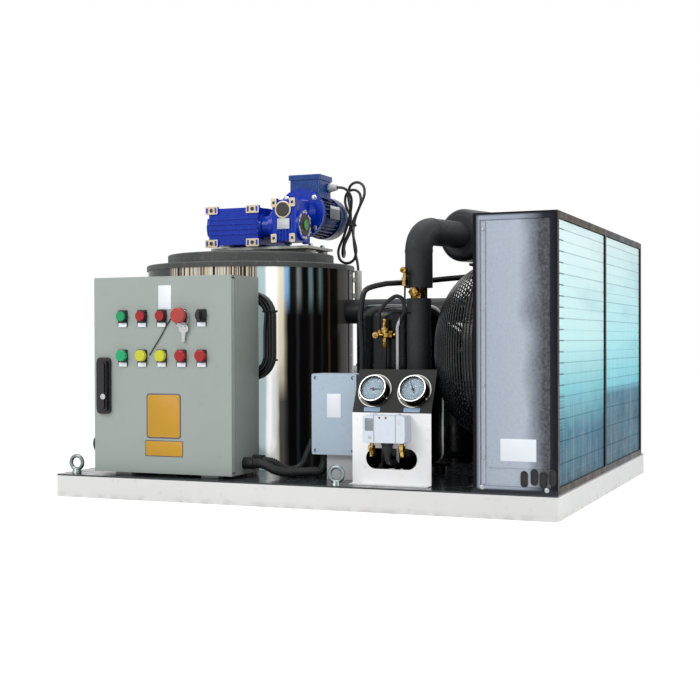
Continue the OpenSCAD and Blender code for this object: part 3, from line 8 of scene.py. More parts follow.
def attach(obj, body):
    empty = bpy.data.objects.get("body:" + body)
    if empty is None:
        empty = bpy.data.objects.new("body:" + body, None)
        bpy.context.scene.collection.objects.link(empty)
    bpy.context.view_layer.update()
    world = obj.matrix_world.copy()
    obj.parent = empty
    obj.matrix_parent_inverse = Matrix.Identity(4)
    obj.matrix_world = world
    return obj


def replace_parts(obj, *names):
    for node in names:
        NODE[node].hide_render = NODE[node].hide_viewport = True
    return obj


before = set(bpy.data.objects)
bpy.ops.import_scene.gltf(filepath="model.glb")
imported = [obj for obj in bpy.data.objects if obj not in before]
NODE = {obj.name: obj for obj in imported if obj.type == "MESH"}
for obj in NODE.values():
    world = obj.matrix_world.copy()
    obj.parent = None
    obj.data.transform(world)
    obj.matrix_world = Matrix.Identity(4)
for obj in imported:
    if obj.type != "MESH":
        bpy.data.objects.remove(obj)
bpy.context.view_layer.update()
scene = bpy.context.scene
MM = 0.001
X, Y, Z = range(3)
FRONT, UP, DOWN, LEFT, RIGHT = (0, -1, 0), (0, 0, 1), (0, 0, -1), (-1, 0, 0), (1, 0, 0)

# Places on the part in millimetres, as in its source

DRUM = Vector((-358, -40, 0))
LID_TOP = 646
DOOR_Y = -527
CAB_LEFT = Vector((-566, DOOR_Y, 66))
CAB_RIGHT = Vector((-166, DOOR_Y, 66))
GAUGE_X = (191.5, 292.5)
GAUGE_UP = 56.5
SLOPE_AT = Vector((0, -490, 229))
SLOPE_U = Vector((0, 0.41469, 0.90996))
SLOPE_N = Vector((0, -0.90996, 0.41469))


# Colour and shader nodes

def linear(c):
    """Linear light of an sRGB channel from 0 to 255."""
    c /= 255
    return c / 12.92 if c <= 0.04045 else ((c + 0.055) / 1.055) ** 2.4


def scaled(rgb, k):
    """Linear colour of an sRGB one, made k times as bright."""
    return tuple(min(linear(c) * k, 1) for c in rgb) + (1.0,)


def ink(colour):
    """Linear colour of an sRGB one. A socket, or a colour that is linear, stays as it is."""
    return scaled(colour, 1) if isinstance(colour, tuple) and len(colour) == 3 else colour


def feed(tree, inlet, value):
    """Links a socket to an inlet, or sets a plain value on it."""
    socket = value.socket if isinstance(value, Value) else value
    if isinstance(socket, bpy.types.NodeSocket):
        tree.links.new(socket, inlet)
    else:
        inlet.default_value = value


def add_node(tree, kind, inputs=None, **props):
    node = tree.nodes.new("ShaderNode" + kind)
    for name, value in props.items():
        setattr(node, name, value)
    for key, value in (inputs or {}).items():
        feed(tree, node.inputs[key], value)
    return node


def operate(tree, op, a, b=0.0):
    return Value(tree, add_node(tree, "Math", {0: a, 1: b}, operation=op).outputs[0])


class Value:
    """A shader's socket that takes plain arithmetic."""

    def __init__(self, tree, socket):
        self.tree = tree
        self.socket = socket

    def calc(self, op, other=0.0):
        return operate(self.tree, op, self, other)

    def __add__(self, other):
        return self.calc("ADD", other)

    def __sub__(self, other):
        return self.calc("SUBTRACT", other)

    def __rsub__(self, other):
        return operate(self.tree, "SUBTRACT", other, self)

    def __mul__(self, other):
        return self.calc("MULTIPLY", other)


class Skin:
    """A procedural surface. Layers are mixed into its colour, roughness, metal and height."""

    def __init__(self, name, rgb, rough=0.5, metal=0.0, drift=0.10, size=0.06, stretch=(1, 1, 1),
                 rough_drift=0.10):
        self.mat = bpy.data.materials.new(name)
        self.mat.use_nodes = True
        self.tree = self.mat.node_tree
        self.bsdf = self.tree.nodes["Principled BSDF"]
        self.where = self.add("TexCoord", out="Object")
        self.vec = self.stretched(stretch)
        self.col = self.mix(self.noise(size, 5), scaled(rgb, 1 - drift), scaled(rgb, 1 + drift))
        smooth, coarse = max(rough - rough_drift, 0.02), min(rough + rough_drift, 1)
        self.rough = self.remap(self.noise(size * 0.37, 4), 0.3, 0.7, smooth, coarse)
        self.metal = metal
        self.heights = []

    def node(self, kind, inputs=None, **props):
        return add_node(self.tree, kind, inputs, **props)

    def add(self, kind, inputs=None, out=0, **props):
        return Value(self.tree, self.node(kind, inputs, **props).outputs[out])

    def stretched(self, scale):
        return self.add("Mapping", {"Vector": self.where, "Scale": scale})

    def noise(self, size, detail=3, vec=None):
        return self.add("TexNoise", {"Vector": vec or self.vec, "Scale": 1 / size, "Detail": float(detail)})

    def mix(self, share, a, b):
        return self.add("MixRGB", {"Fac": share, "Color1": ink(a), "Color2": ink(b)})

    def remap(self, value, a, b, c=0.0, d=1.0):
        """The value's place between a and b, as one between c and d."""
        return self.add("MapRange", {"Value": value, "From Min": a, "From Max": b, "To Min": c, "To Max": d})

    def ramp(self, value, stops):
        """Colours at values, from the first stop to the last."""
        low, high = stops[0][0], stops[-1][0]
        node = self.node("ValToRGB", {"Fac": self.remap(value, low, high)})
        line = node.color_ramp.elements
        for i, (at, rgb) in enumerate(stops):
            place = (at - low) / (high - low)
            stop = line[i] if i < 2 else line.new(place)
            stop.position = place
            stop.color = ink(rgb)
        return node.outputs["Color"]

    def axis(self, i):
        """The coordinate i in metres."""
        return self.add("SeparateXYZ", {"Vector": self.where}, i)

    def along(self, i, *ends):
        """As remap, of the coordinate i in metres."""
        return self.remap(self.axis(i), *ends)

    def between(self, value, lo, hi, soft=0.2 * MM):
        """1 where the value lies from lo to hi."""
        rising = self.remap(value, lo - soft, lo + soft)
        return rising * self.remap(value, hi - soft, hi + soft, 1.0, 0.0)

    def band(self, i, lo, hi, soft=0.2):
        """1 where the coordinate i lies from lo to hi millimetres."""
        return self.between(self.axis(i), lo * MM, hi * MM, soft * MM)

    def over(self, mask, rgb, rough=None, metal=None):
        """Lays a colour over what is there, by the mask's share, and a roughness and metal if given."""
        self.col = self.mix(mask, self.col, rgb)
        if rough is not None:
            self.rough = (1.0 - mask) * self.rough + mask * rough
        if metal is not None:
            self.metal = (1.0 - mask) * self.metal + mask * metal
        return self

    def stripe(self, i, lo, hi, *layer):
        """A layer where the coordinate i lies from lo to hi millimetres."""
        return self.over(self.band(i, lo, hi), *layer)

    def fill(self, lo, hi, *layer):
        """A layer inside a box in millimetres, which None at a corner leaves open along that axis."""
        mask = None
        for i in (X, Y, Z):
            if lo[i] is not None:
                band = self.band(i, lo[i], hi[i])
                mask = band if mask is None else mask * band
        return self.over(mask, *layer)

    def height(self, socket, depth):
        self.heights.append((socket, depth))
        return self

    def grain(self, size, depth, detail=2, stretch=None):
        vec = self.stretched(stretch) if stretch else self.vec
        return self.height(self.noise(size, detail, vec), depth)

    def specks(self, size, rgb, amount=0.6, level=0.62, rough=None):
        """Marks of colour where a fine noise is high, such as dust, scuffs or chips."""
        mask = self.remap(self.noise(size, 6, self.where), level, level + 0.05)
        return self.over(mask * amount, rgb, rough)

    def edges(self, rgb, radius=0.0012, amount=0.7):
        """Colour along the edges, broken up by noise: wear on most paints, and a painted highlight on the
        blue castings.
        """
        bevel = self.add("Bevel", {"Radius": radius}, samples=4)
        normal = self.add("NewGeometry", out="Normal")
        same = self.add("VectorMath", {0: bevel, 1: normal}, "Value", operation="DOT_PRODUCT")
        patchy = self.remap(self.noise(0.012, 5, self.where), 0.42, 0.62)
        return self.over(self.remap(same, 0.99, 0.86) * patchy * amount, rgb)

    def set(self, **values):
        """Values or sockets for the shader's own inputs."""
        for name, value in values.items():
            feed(self.tree, self.bsdf.inputs[name.replace("_", " ")], value)
        return self

    def done(self):
        self.set(Base_Color=self.col, Roughness=self.rough, Metallic=self.metal)
        normal = None
        for socket, depth in self.heights:
            bump = self.node("Bump", {"Height": socket, "Distance": depth, "Strength": 1.0})
            if normal is not None:
                feed(self.tree, bump.inputs["Normal"], normal)
            normal = bump.outputs[0]
        if normal is not None:
            self.set(Normal=normal)
        return self.mat

    def on(self, *nodes):
        dress(self.done(), *nodes)


# Outlines, lines and meshes

def around(n):
    """Angles of n even steps round a circle."""
    return [2 * pi * i / n for i in range(n)]


def basis(axis, up=None):
    """Three unit vectors: across, up and along the axis."""
    w = Vector(axis).normalized()
    u = Vector(up) if up else (Vector((0, 0, 1)) if abs(w.z) < 0.9 else Vector((0, 1, 0)))
    u = (u - w * u.dot(w)).normalized()
    return u.cross(w), u, w


def rounded(w, h, r, n=4):
    """Outline of a rounded rectangle about its middle."""
    x, y = w / 2 - r, h / 2 - r
    out = []
    for cx, cy, a in ((x, y, 0), (-x, y, 90), (-x, -y, 180), (x, -y, 270)):
        for i in range(n + 1):
            t = radians(a + 90 * i / n)
            out.append((cx + r * cos(t), cy + r * sin(t)))
    return out


def sector(lo, hi, start, sweep, n):
    """Outline of a part of a flat ring, with its angles in degrees."""
    span = [radians(start + sweep * i / n) for i in range(n + 1)]
    outer = [(hi * cos(t), hi * sin(t)) for t in span]
    return outer + [(lo * cos(t), lo * sin(t)) for t in reversed(span)]


def ease(t):
    """Smooth step from 0 to 1."""
    t = min(max(t, 0), 1)
    return t * t * (3 - 2 * t)


def spline(p, n):
    """Smooth curve through points p with n steps in each span, as in the part's source."""
    p = [Vector(q) for q in p]
    last = len(p) - 1

    def slope(i):
        if i == 0:
            return (p[1] - p[0]).normalized()
        if i == last:
            return (p[i] - p[i - 1]).normalized()
        u, v = p[i] - p[i - 1], p[i + 1] - p[i]
        a, b = u.length, v.length
        return (u * (b / a) + v * (a / b)) / (a + b)

    out = []
    for i in range(last):
        b, c, m, q = p[i], p[i + 1], slope(i), slope(i + 1)
        d = (c - b).length
        for j in range(n):
            t = j / n
            e = ease(t)
            out.append(b * (1 - e) + c * e + (m * (1 - t) - q * t) * (d * t * (1 - t)))
    return out + [p[last]]


class Shape:
    """Mesh collected in millimetres."""

    def __init__(self):
        self.v = []
        self.f = []

    def add(self, verts, faces):
        k = len(self.v)
        self.v += [tuple(p) for p in verts]
        self.f += [tuple(i + k for i in face) for face in faces]
        return self

    def lathe(self, at, axis, profile, n):
        """Turned piece, by pairs of radius and height along the axis."""
        u, v, w = basis(axis)
        at = Vector(at)
        verts, rings = [], []
        for r, z in profile:
            first = len(verts)
            if r:
                verts += [at + w * z + u * (r * cos(t)) + v * (r * sin(t)) for t in around(n)]
            else:
                verts.append(at + w * z)
            rings.append(range(first, len(verts)))
        faces = []
        for a, b in zip(rings, rings[1:]):
            for i in range(n):
                j = (i + 1) % n
                face = [a[i % len(a)], a[j % len(a)], b[j % len(b)], b[i % len(b)]]
                face = list(dict.fromkeys(face))
                if len(face) > 2:
                    faces.append(face)
        return self.add(verts, faces)

    def ring(self, at, axis, radius, r, n, m, flat=1.0):
        """A torus about the axis, in n steps round it and m round its wire."""
        u, v, w = basis(axis)
        at = Vector(at)
        verts, faces = [], []
        for t in around(n):
            d = u * cos(t) + v * sin(t)
            verts += [at + d * (radius + r * cos(s)) + w * (r * flat * sin(s)) for s in around(m)]
        for i in range(n):
            a, b = i * m, (i + 1) % n * m
            faces += [(a + k, b + k, b + (k + 1) % m, a + (k + 1) % m) for k in range(m)]
        return self.add(verts, faces)

    def prism(self, at, axis, outline, h, chamfer=0.0, up=None):
        """An outline raised by h along the axis, with its far edge chamfered."""
        u, v, w = basis(axis, up)
        at = Vector(at)
        n = len(outline)
        xs, ys = zip(*outline)
        cx, cy = (max(xs) + min(xs)) / 2, (max(ys) + min(ys)) / 2
        kx = 1 - 2 * chamfer / (max(xs) - min(xs))
        ky = 1 - 2 * chamfer / (max(ys) - min(ys))
        inner = [(cx + (x - cx) * kx, cy + (y - cy) * ky) for x, y in outline]
        levels = [(outline, 0.0), (outline, h - chamfer)] + ([(inner, h)] if chamfer else [])
        verts = [at + u * x + v * y + w * z for line, z in levels for x, y in line]
        faces = [tuple(reversed(range(n))), tuple(range((len(levels) - 1) * n, len(levels) * n))]
        for a in range(0, (len(levels) - 1) * n, n):
            faces += [(a + i, a + (i + 1) % n, a + n + (i + 1) % n, a + n + i) for i in range(n)]
        return self.add(verts, faces)

    def block(self, lo, hi, c):
        """A box with edges chamfered by c."""
        ends = Vector(lo), Vector(hi)
        corners = list(product((0, 1), repeat=3))
        verts, ids = [], {}
        for s in corners:
            for k in (X, Y, Z):
                ids[s, k] = len(verts)
                verts.append([ends[s[i]][i] + (0 if i == k else c - 2 * c * s[i]) for i in (X, Y, Z)])
        faces = []
        for k in (X, Y, Z):
            a, b = (k + 1) % 3, (k + 2) % 3

            def corner(along, i, j):
                s = [0, 0, 0]
                s[k], s[a], s[b] = along, i, j
                return tuple(s)

            for side in (0, 1):
                face = [ids[corner(side, i, j), k] for i, j in ((0, 0), (1, 0), (1, 1), (0, 1))]
                faces.append(face if side else face[::-1])
            for i, j in product((0, 1), repeat=2):
                near, far = corner(0, i, j), corner(1, i, j)
                face = [ids[near, a], ids[far, a], ids[far, b], ids[near, b]]
                faces.append(face if i == j else face[::-1])
        for s in corners:
            face = [ids[s, k] for k in (X, Y, Z)]
            faces.append(face if sum(s) % 2 else face[::-1])
        return self.add(verts, faces)

    def tube(self, points, r, n, closed=False):
        """Round bar along a line, with one radius or one for each point."""
        p = [Vector(q) for q in points]
        count = len(p)
        radii = r if isinstance(r, list) else [r] * count
        verts, normal = [], None
        for i in range(count):
            if closed:
                t = (p[(i + 1) % count] - p[i - 1]).normalized()
            else:
                t = (p[min(i + 1, count - 1)] - p[max(i - 1, 0)]).normalized()
            if normal is None:
                normal = Vector((0, 0, 1)) if abs(t.z) < 0.8 else Vector((1, 0, 0))
            normal = (normal - t * normal.dot(t)).normalized()
            side = t.cross(normal)
            verts += [p[i] + radii[i] * (normal * cos(s) + side * sin(s)) for s in around(n)]
        faces = []
        for i in range(count if closed else count - 1):
            a, b = i * n, (i + 1) % count * n
            faces += [(a + k, a + (k + 1) % n, b + (k + 1) % n, b + k) for k in range(n)]
        if not closed:
            faces += [tuple(reversed(range(n))), tuple(range((count - 1) * n, count * n))]
        return self.add(verts, faces)

    def screw(self, at, axis, r, h=None):
        """Pan head with a round recess."""
        h = h or r * 0.6
        head = [(r, 0), (r, h * 0.5), (r * 0.82, h * 0.9), (r * 0.6, h)]
        return self.lathe(at, axis, head + [(r * 0.36, h), (r * 0.3, h * 0.35), (0, h * 0.35)], 14)

    def hexbolt(self, at, axis, flats, h, washer=True):
        """Hex head by its size across flats, on a washer."""
        z = 0.0
        if washer:
            z = flats * 0.16
            disc = [(flats * 0.98, 0), (flats * 0.98, flats * 0.12), (flats * 0.9, z), (0, z)]
            self.lathe(at, axis, disc, 20)
        r = flats / 2 / cos(pi / 6)
        seat = Vector(at) + Vector(axis).normalized() * z
        return self.lathe(seat, axis, [(r, 0), (r, h * 0.82), (r * 0.84, h), (0, h)], 6)

    def rivet(self, at, axis, r):
        return self.lathe(at, axis, [(r, 0), (r * 0.92, r * 0.28), (r * 0.6, r * 0.52), (0, r * 0.62)], 12)


def make(name, shape, mat, body="base", smooth=38):
    """A piece of the scene that goes with a body, with edges sharp past the angle smooth."""
    mesh = bpy.data.meshes.new(name)
    mesh.from_pydata([(x * MM, y * MM, z * MM) for x, y, z in shape.v], [], shape.f)
    mesh.validate()
    mesh.polygons.foreach_set("use_smooth", [True] * len(mesh.polygons))
    mesh.set_sharp_from_angle(angle=radians(smooth))
    mesh.materials.append(mat)
    obj = bpy.data.objects.new(name, mesh)
    scene.collection.objects.link(obj)
    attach(obj, body)
    return obj


def dress(mat, *nodes):
    """Gives nodes of the source a material."""
    for n in nodes:
        obj = NODE[n]
        if not obj.material_slots:
            obj.data.materials.append(mat)
        for s in obj.material_slots:
            s.material = mat


# Camera at the photograph's angle

FOCAL_PX = 1259.4343
IMAGE_PX = 700
SENSOR = 36.0
EYE = Vector((1.29889, -3.29176, 0.40146))
YAW, PITCH, ROLL = 0.3933, -0.0074, -0.0034
CLIP_END = 50
look = Vector((-sin(YAW) * cos(PITCH), cos(YAW) * cos(PITCH), sin(PITCH)))
level = Vector((cos(YAW), sin(YAW), 0))
rise = level.cross(look)
across = level * cos(ROLL) + rise * sin(ROLL)
upward = rise * cos(ROLL) - level * sin(ROLL)
cam_data = bpy.data.cameras.new("camera")
cam_data.sensor_width = SENSOR
cam_data.lens = FOCAL_PX / IMAGE_PX * SENSOR
cam_data.clip_end = CLIP_END
cam = bpy.data.objects.new("camera", cam_data)
cam.matrix_world = Matrix.Translation(EYE) @ Matrix((across, upward, -look)).transposed().to_4x4()
scene.collection.objects.link(cam)
scene.camera = cam
scene.view_settings.view_transform = "Standard"

# Materials that pieces share

black = Skin("black_plastic", (24, 25, 28), 0.42, drift=0.2).grain(0.0009, 0.00006)
m_black = black.specks(0.004, (70, 70, 72), 0.25, 0.66).done()
m_rubber = Skin("black_rubber", (20, 20, 22), 0.6, drift=0.2).grain(0.0012, 0.0001).done()
m_sheath = Skin("cable_sheath", (19, 19, 21), 0.38, drift=0.25, size=0.03).grain(0.0007, 0.00004).done()
steel = Skin("bright_steel", (196, 198, 200), 0.24, 1.0, drift=0.08, size=0.01)
m_steel = steel.grain(0.0006, 0.00003).done()
zinc = Skin("zinc_plate", (176, 180, 184), 0.32, 1.0, drift=0.14, size=0.012)
m_zinc = zinc.grain(0.0008, 0.00004).done()
brass = Skin("brass", (150, 112, 48), 0.24, 1.0, drift=0.18, size=0.012).grain(0.001, 0.00004)
# Painted highlights and dark painted reflections, mixed into the brass by a noise.
brass.col = brass.mix(brass.remap(brass.noise(0.009, 2), 0.4, 0.62), (104, 72, 26), (212, 180, 108))
m_brass = brass.set(Specular_Tint=(0.6, 0.5, 0.3, 1.0)).done()
iron = Skin("machined_iron", (214, 200, 172), 0.42, 0.25, drift=0.08, size=0.01)
m_cream = iron.grain(0.0005, 0.00003, stretch=(1, 1, 6)).done()
m_white = Skin("white_plate", (226, 232, 238), 0.4, drift=0.04).grain(0.002, 0.00004).done()

# Cords and hoses, on the routes of the part's source

GLAND_END = (-121.8, 40, 841.5)
TUBE_AT = (-77.26, 89.12)
TUBE_TOP = 604
FOLD_R, FOLD_STEPS = 27.5, 5
FOLD_SHARES = [i / FOLD_STEPS for i in range(FOLD_STEPS + 1)]
MOTOR_CORD_D, LEFT_CABLE_D, HANK_CABLE_D = 8, 6, 7


def fold(x, z, a, b, y0, y1):
    """Turn of the folded cord about x and z, from angle a to b, as it goes from y0 to y1."""
    turns = [(s, radians(a + (b - a) * s)) for s in FOLD_SHARES]
    return [(x + FOLD_R * cos(t), y0 + (y1 - y0) * s, z + FOLD_R * sin(t)) for s, t in turns]


def side_fold(x0, x1, y, z):
    """Turn from the front to the back about y and z, as it goes from x0 to x1."""
    return [(x0 + (x1 - x0) * s, y - FOLD_R * cos(pi * s), z - FOLD_R * sin(pi * s)) for s in FOLD_SHARES]


MOTOR_RUN = (
    [(243, 80, 195.5), (258, 83, 192), (269, 89, 181), (273, 97, 165), (270, 104, 144), (259, 114, 108)]
    + [(239, 123, 60)]
    + fold(247, 8, 180, 360, 127, 127)
    + [(265, 129, 66), (264, 131, 96), (282, 132, 138)]
    + fold(272, 188, 0, 180, 134, 145)
    + [(250, 147, 130), (249, 148, 88)]
    + side_fold(227, 207, 172, 30)
    + [(233, 191, 88), (234, 187, 114)]
    + fold(247, 171, 180, 0, 179, 166)
    + [(259, 161, 112), (254, 160, 86), (259, 152, 34)])
LEFT_RUN = [
    (-0.6, 57, 92), (-7, 57, 92), (-14, 57, 92), (-30, 57, 87), (-40, 57, 73), (-40, 57, 57), (-30, 57, 43),
    (-14, 57, 38), (-10, 57, 38)]


def cord(name, points, d, mat, node, exit_at, steps=8):
    line = spline(points, steps)
    curve = bpy.data.curves.new(name, "CURVE")
    curve.dimensions = "3D"
    curve.bevel_depth = d / 2 * MM
    curve.bevel_resolution = 3
    curve.use_fill_caps = True
    s = curve.splines.new("POLY")
    s.points.add(len(line) - 1)
    for q, p in zip(s.points, line):
        q.co = (p.x * MM, p.y * MM, p.z * MM, 1)
    s.use_smooth = True
    curve.materials.append(mat)
    obj = bpy.data.objects.new(name, curve)
    scene.collection.objects.link(obj)
    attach(obj, "base")
    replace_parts(obj, node)
    [c * MM for c in exit_at]


tie = Shape().ring((-103, 100, 738), (0.1, 0, 1), 14, 2.2, 28, 6, flat=1.6)
tie.block((-92, 90, 734), (-86, 96, 742), 1)
motor_tie = make("motor_cable_tie", tie, m_rubber)
motor_points = [GLAND_END] + [DRUM + Vector((0, 0, LID_TOP)) + Vector(p) for p in MOTOR_RUN] + [
    TUBE_AT + (TUBE_TOP + 2,), TUBE_AT + (TUBE_TOP - 16,)]
cord("motor_cord", motor_points, MOTOR_CORD_D, m_sheath, "motor_cable", GLAND_END)

left_points = [CAB_LEFT + Vector(p) for p in LEFT_RUN]
cord("cabinet_left_cable", left_points, LEFT_CABLE_D, m_sheath, "cabinet_cables", left_points[0])

HANK_X, HANK_Z = -190.0, 415.0
HANK_R, HANK_SPAN = 60.5, 51.0
HANK_PITCH, HANK_DEEP = 7.4, 8.2
HANK_Y, CAB_BACK = -354.6, -376.8
HANK_STEPS, END_STEPS = 40, 8
CROSS_FIRST, CROSS_STEP, CROSS_LONG = 0.88, 0.1, 0.2
END_FOLD = 22.2
END_ANGLES = (0, 0.4, 0.8, 1.2, pi / 2)
IN_ASIDE, IN_LOW, IN_FROM, IN_RISE = 13.5, 120, 92, 88
OUT_ASIDE, OUT_RISE = 15, 70


def round_hank(rad, y, share):
    """Point a share of the way round a stadium, from the middle of its left side upwards."""
    half_turn = pi * rad
    side = 1 if share < 0.5 else -1
    d = share % 0.5 * (2 * half_turn + 4 * HANK_SPAN) - HANK_SPAN
    if d < 0:
        x, z = -rad, HANK_SPAN + d
    elif d < half_turn:
        x, z = -rad * cos(d / rad), HANK_SPAN + rad * sin(d / rad)
    else:
        x, z = rad, HANK_SPAN + half_turn - d
    return (HANK_X + side * x, y, HANK_Z + side * z)


def hank_path():
    """One cable wound in a long loop, three deep and four across, with both ends turned into the cabinet."""
    order = []
    for col in range(4):
        order += [(col, row) for row in ((0, 1, 2) if col % 2 else (2, 1, 0))]
    outer = HANK_X - HANK_R
    inner = outer + 3 * HANK_PITCH
    in_x, in_z = outer - IN_ASIDE, HANK_Z - IN_LOW
    points = [(in_x, CAB_BACK + END_FOLD * sin(t), in_z + END_FOLD * (1 - cos(t))) for t in END_ANGLES]
    for i in range(1, END_STEPS + 1):
        share = i / END_STEPS
        points.append((in_x + IN_ASIDE * ease(share), HANK_Y, HANK_Z - IN_FROM + IN_RISE * share))
    for k, (col, row) in enumerate(order):
        next_col, next_row = order[min(k + 1, len(order) - 1)]
        middle = CROSS_FIRST - CROSS_STEP * (2 * col + (next_col != col))
        for i in range(HANK_STEPS):
            share = i / HANK_STEPS
            e = ease((share - middle) / CROSS_LONG + 0.5)
            y = HANK_Y - HANK_DEEP * (2 - row - (next_row - row) * e)
            points.append(round_hank(HANK_R - HANK_PITCH * (col + (next_col - col) * e), y, share))
    for i in range(END_STEPS + 1):
        share = i / END_STEPS
        points.append((inner + OUT_ASIDE * ease(share), HANK_Y, HANK_Z + OUT_RISE * share))
    for t in END_ANGLES[1:]:
        y, z = HANK_Y - END_FOLD * (1 - cos(t)), HANK_Z + OUT_RISE + END_FOLD * sin(t)
        points.append((inner + OUT_ASIDE, y, z))
    return points


TIE_Y = -362.8
hank_points = hank_path()
ties = Shape()
for z, x, dz in product((352, 478), (-240, -140), (-1.6, 0, 1.6)):
    ties.tube([(x + u, TIE_Y + v, z + dz) for u, v in rounded(34, 26, 5)], 1.0, 6, closed=True)
hank_ties = make("cable_hank_ties", ties, m_black)
cord("cabinet_cable_hank", hank_points, HANK_CABLE_D, m_sheath, "cabinet_cables", hank_points[0],
     steps=1)

BOX_GAP = 178.0


def conduit_way(y, z, run):
    """Straight start at the cabinet's side, then points by their share of the gap to the junction box."""
    line = [CAB_RIGHT + Vector((x, y, z)) for x in (30, 36, 42)]
    return line + [CAB_RIGHT + Vector((a * BOX_GAP, b, c)) for a, b, c in run]


CONDUIT_A = conduit_way(66, 28, (
    (0.33, 66, 25), (0.47, 72, 12), (0.61, 86, 6), (0.76, 104, 6), (0.9, 116, 7))) + [
    Vector((21, -402, 77)), Vector((29, -400, 94))] + [Vector((30, -400, 120 - z)) for z in (14, 7, 0.2)]
CONDUIT_B = conduit_way(117, 30, (
    (0.33, 118, 27), (0.45, 125, 13), (0.58, 138, 8), (0.68, 154, 20), (0.73, 170, 50), (0.79, 186, 84),
    (0.89, 200, 110), (1.02, 208, 128))) + [
    Vector((40, -322, 204))] + [Vector((50, -365 + y, 206)) for y in (26, 13, 0.2)]
RIB_STEP, RIB_DEEP = 1.3, 1.5


def even(points, step):
    """The same line with points a step apart."""
    out, left = [points[0]], step
    for a, b in zip(points, points[1:]):
        d = (b - a).length
        at = left
        while at <= d:
            out.append(a + (b - a) * (at / d))
            at += step
        left = at - d
    return out


def conduit(name, points, r):
    """Corrugated hose with two steps on each rib and two in each groove."""
    line = even(spline(points, 10), RIB_STEP)
    radii = [r if i % 4 in (0, 1) else r - RIB_DEEP for i in range(len(line))]
    obj = make(name, Shape().tube(line, radii, 18), m_rubber, smooth=60)
    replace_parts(obj, "conduits")
    [c * MM for c in line[0]]
    [[c * MM for c in p] for p in line]


conduit("conduit_front", CONDUIT_A, 12)
conduit("conduit_back", CONDUIT_B, 10)


# Materials of the tray, the lid and the drive

def painted(name, rgb, rough, chip=None, drift=0.05):
    """Sprayed paint with orange peel, a few marks and worn edges."""
    skin = Skin(name, rgb, rough, drift=drift, size=0.08)
    skin.grain(0.0035, 0.00005).grain(0.0007, 0.000012)
    skin.specks(0.018, scaled(rgb, 0.8), 0.35, 0.62)
    if chip:
        skin.edges(chip, 0.0012, 0.6)
    return skin


white = painted("white_skirt", (220, 220, 219), 0.4, drift=0.02)
dirt = white.along(Z, 0.016, 0.0) * white.remap(white.noise(0.03, 5), 0.45, 0.65, 0.0, 0.5)
white.over(dirt, (170, 168, 160)).on("base_skirt")
deck = painted("deck_paint", (40, 46, 49), 0.2, drift=0.12)
deck.specks(0.006, (92, 96, 96), 0.4, 0.64, 0.6).on("deck_plate")
lid = Skin("lid_paint", (62, 64, 63), 0.55, drift=0.1, size=0.12).grain(0.0022, 0.00012)
lid.specks(0.008, (104, 104, 100), 0.4, 0.6).edges((112, 112, 110), 0.002, 0.5)
lid.on("drum_lid")
plate = Skin("mill_steel", (158, 158, 152), 0.4, 0.9, drift=0.16, size=0.05)
plate.grain(0.0012, 0.00006, stretch=(1, 12, 12)).specks(0.01, (96, 90, 80), 0.5, 0.6)
plate.on("drive_plate")
eye = Skin("eye_steel", (132, 142, 142), 0.34, 1.0, drift=0.12, size=0.02).grain(0.002, 0.0001)
eye.on("lifting_eyes")

BLUE = (4, 48, 166)
CREAM = (206, 192, 164)


def cast_blue(name, rgb=BLUE, gloss=0.28):
    """Paint on a rough casting, paler along its edges as a painted highlight."""
    skin = Skin(name, rgb, 0.24, drift=0.14, size=0.04).grain(0.0045, 0.0003, 3)
    skin.specks(0.01, scaled(rgb, 0.55), 0.5, 0.63).edges(scaled(rgb, 2.6), 0.0022, 0.65)
    return skin.set(Specular_IOR_Level=gloss)


big = cast_blue("main_gearbox_paint")
big.fill((-452, -170, 655), (-260, -159.7, 790), CREAM, 0.4, 0.3)
big.on("main_gearbox")
small = cast_blue("input_gearbox_paint")
small.fill((-240, -175, 660), (-150, -164.7, 800), CREAM, 0.4, 0.3)
small.fill((-240, -150, 793.7), (-160, -70, 796), CREAM, 0.4, 0.3)
small.on("input_gearbox")
caps = Skin("gearbox_caps", (40, 40, 38), 0.5, 0.1, drift=0.2, size=0.004).grain(0.0012, 0.0003, 3)
caps.fill((-150, -130, 707), (-140, -100, 738), (62, 142, 62), 0.4, 0.0)
caps.on("gearbox_caps")
cast_blue("motor_paint", (10, 40, 96), 0.1).on("motor_housing")
cast_blue("cowl_paint", (10, 46, 104), 0.14).on("motor_cowl")
box = cast_blue("terminal_box_paint", (24, 64, 132))
box.fill((-146.7, -40, 800), (-100, 80, 880), (196, 198, 200), 0.45)
box.on("terminal_box")
tube = Skin("entry_tube", (244, 244, 242), 0.4, drift=0.05).grain(0.004, 0.00004)
tube.stripe(Z, 500, 520, (150, 154, 158), 0.4).on("cable_tube")

# Polished jacket: painted reflections in bands of colour by the angle about the drum, one set low and one
# high, and painted reflections of bars in front

# Colours of the painted reflections on the jacket.
DARK, MID, GLARE = (15, 14, 14), (62, 59, 58), (252, 252, 250)
BEIGE, SKY, ASH, TEAL, TAN = (214, 206, 184), (126, 178, 224), (138, 144, 144), (112, 136, 138), (92, 70, 48)
BACK = (104, 106, 108)
FAR = [(20, (44, 44, 46)), (60, (128, 130, 132)), (115, (150, 152, 152)), (180, BACK)]
NEAR = [
    (-180, BACK), (-112, (66, 66, 66)), (-58, (168, 186, 190)), (-55.6, (168, 186, 190)),
    (-55.2, (104, 110, 106)), (-54.8, GLARE), (-49.6, GLARE), (-49.0, BEIGE), (-45.6, BEIGE)]
LAST = [(-17.4, DARK), (-16.6, TAN), (-15.6, DARK), (-9.2, DARK), (-8, MID)]
HIGH = [
    (-44.9, SKY), (-42.8, SKY), (-42.2, (36, 34, 32)), (-39.4, DARK), (-39, ASH), (-36.8, ASH), (-36.2, DARK),
    (-32.2, DARK), (-31.7, TEAL), (-28.8, TEAL), (-28.2, DARK), (-25.6, DARK), (-23.6, TEAL), (-21.8, DARK)]
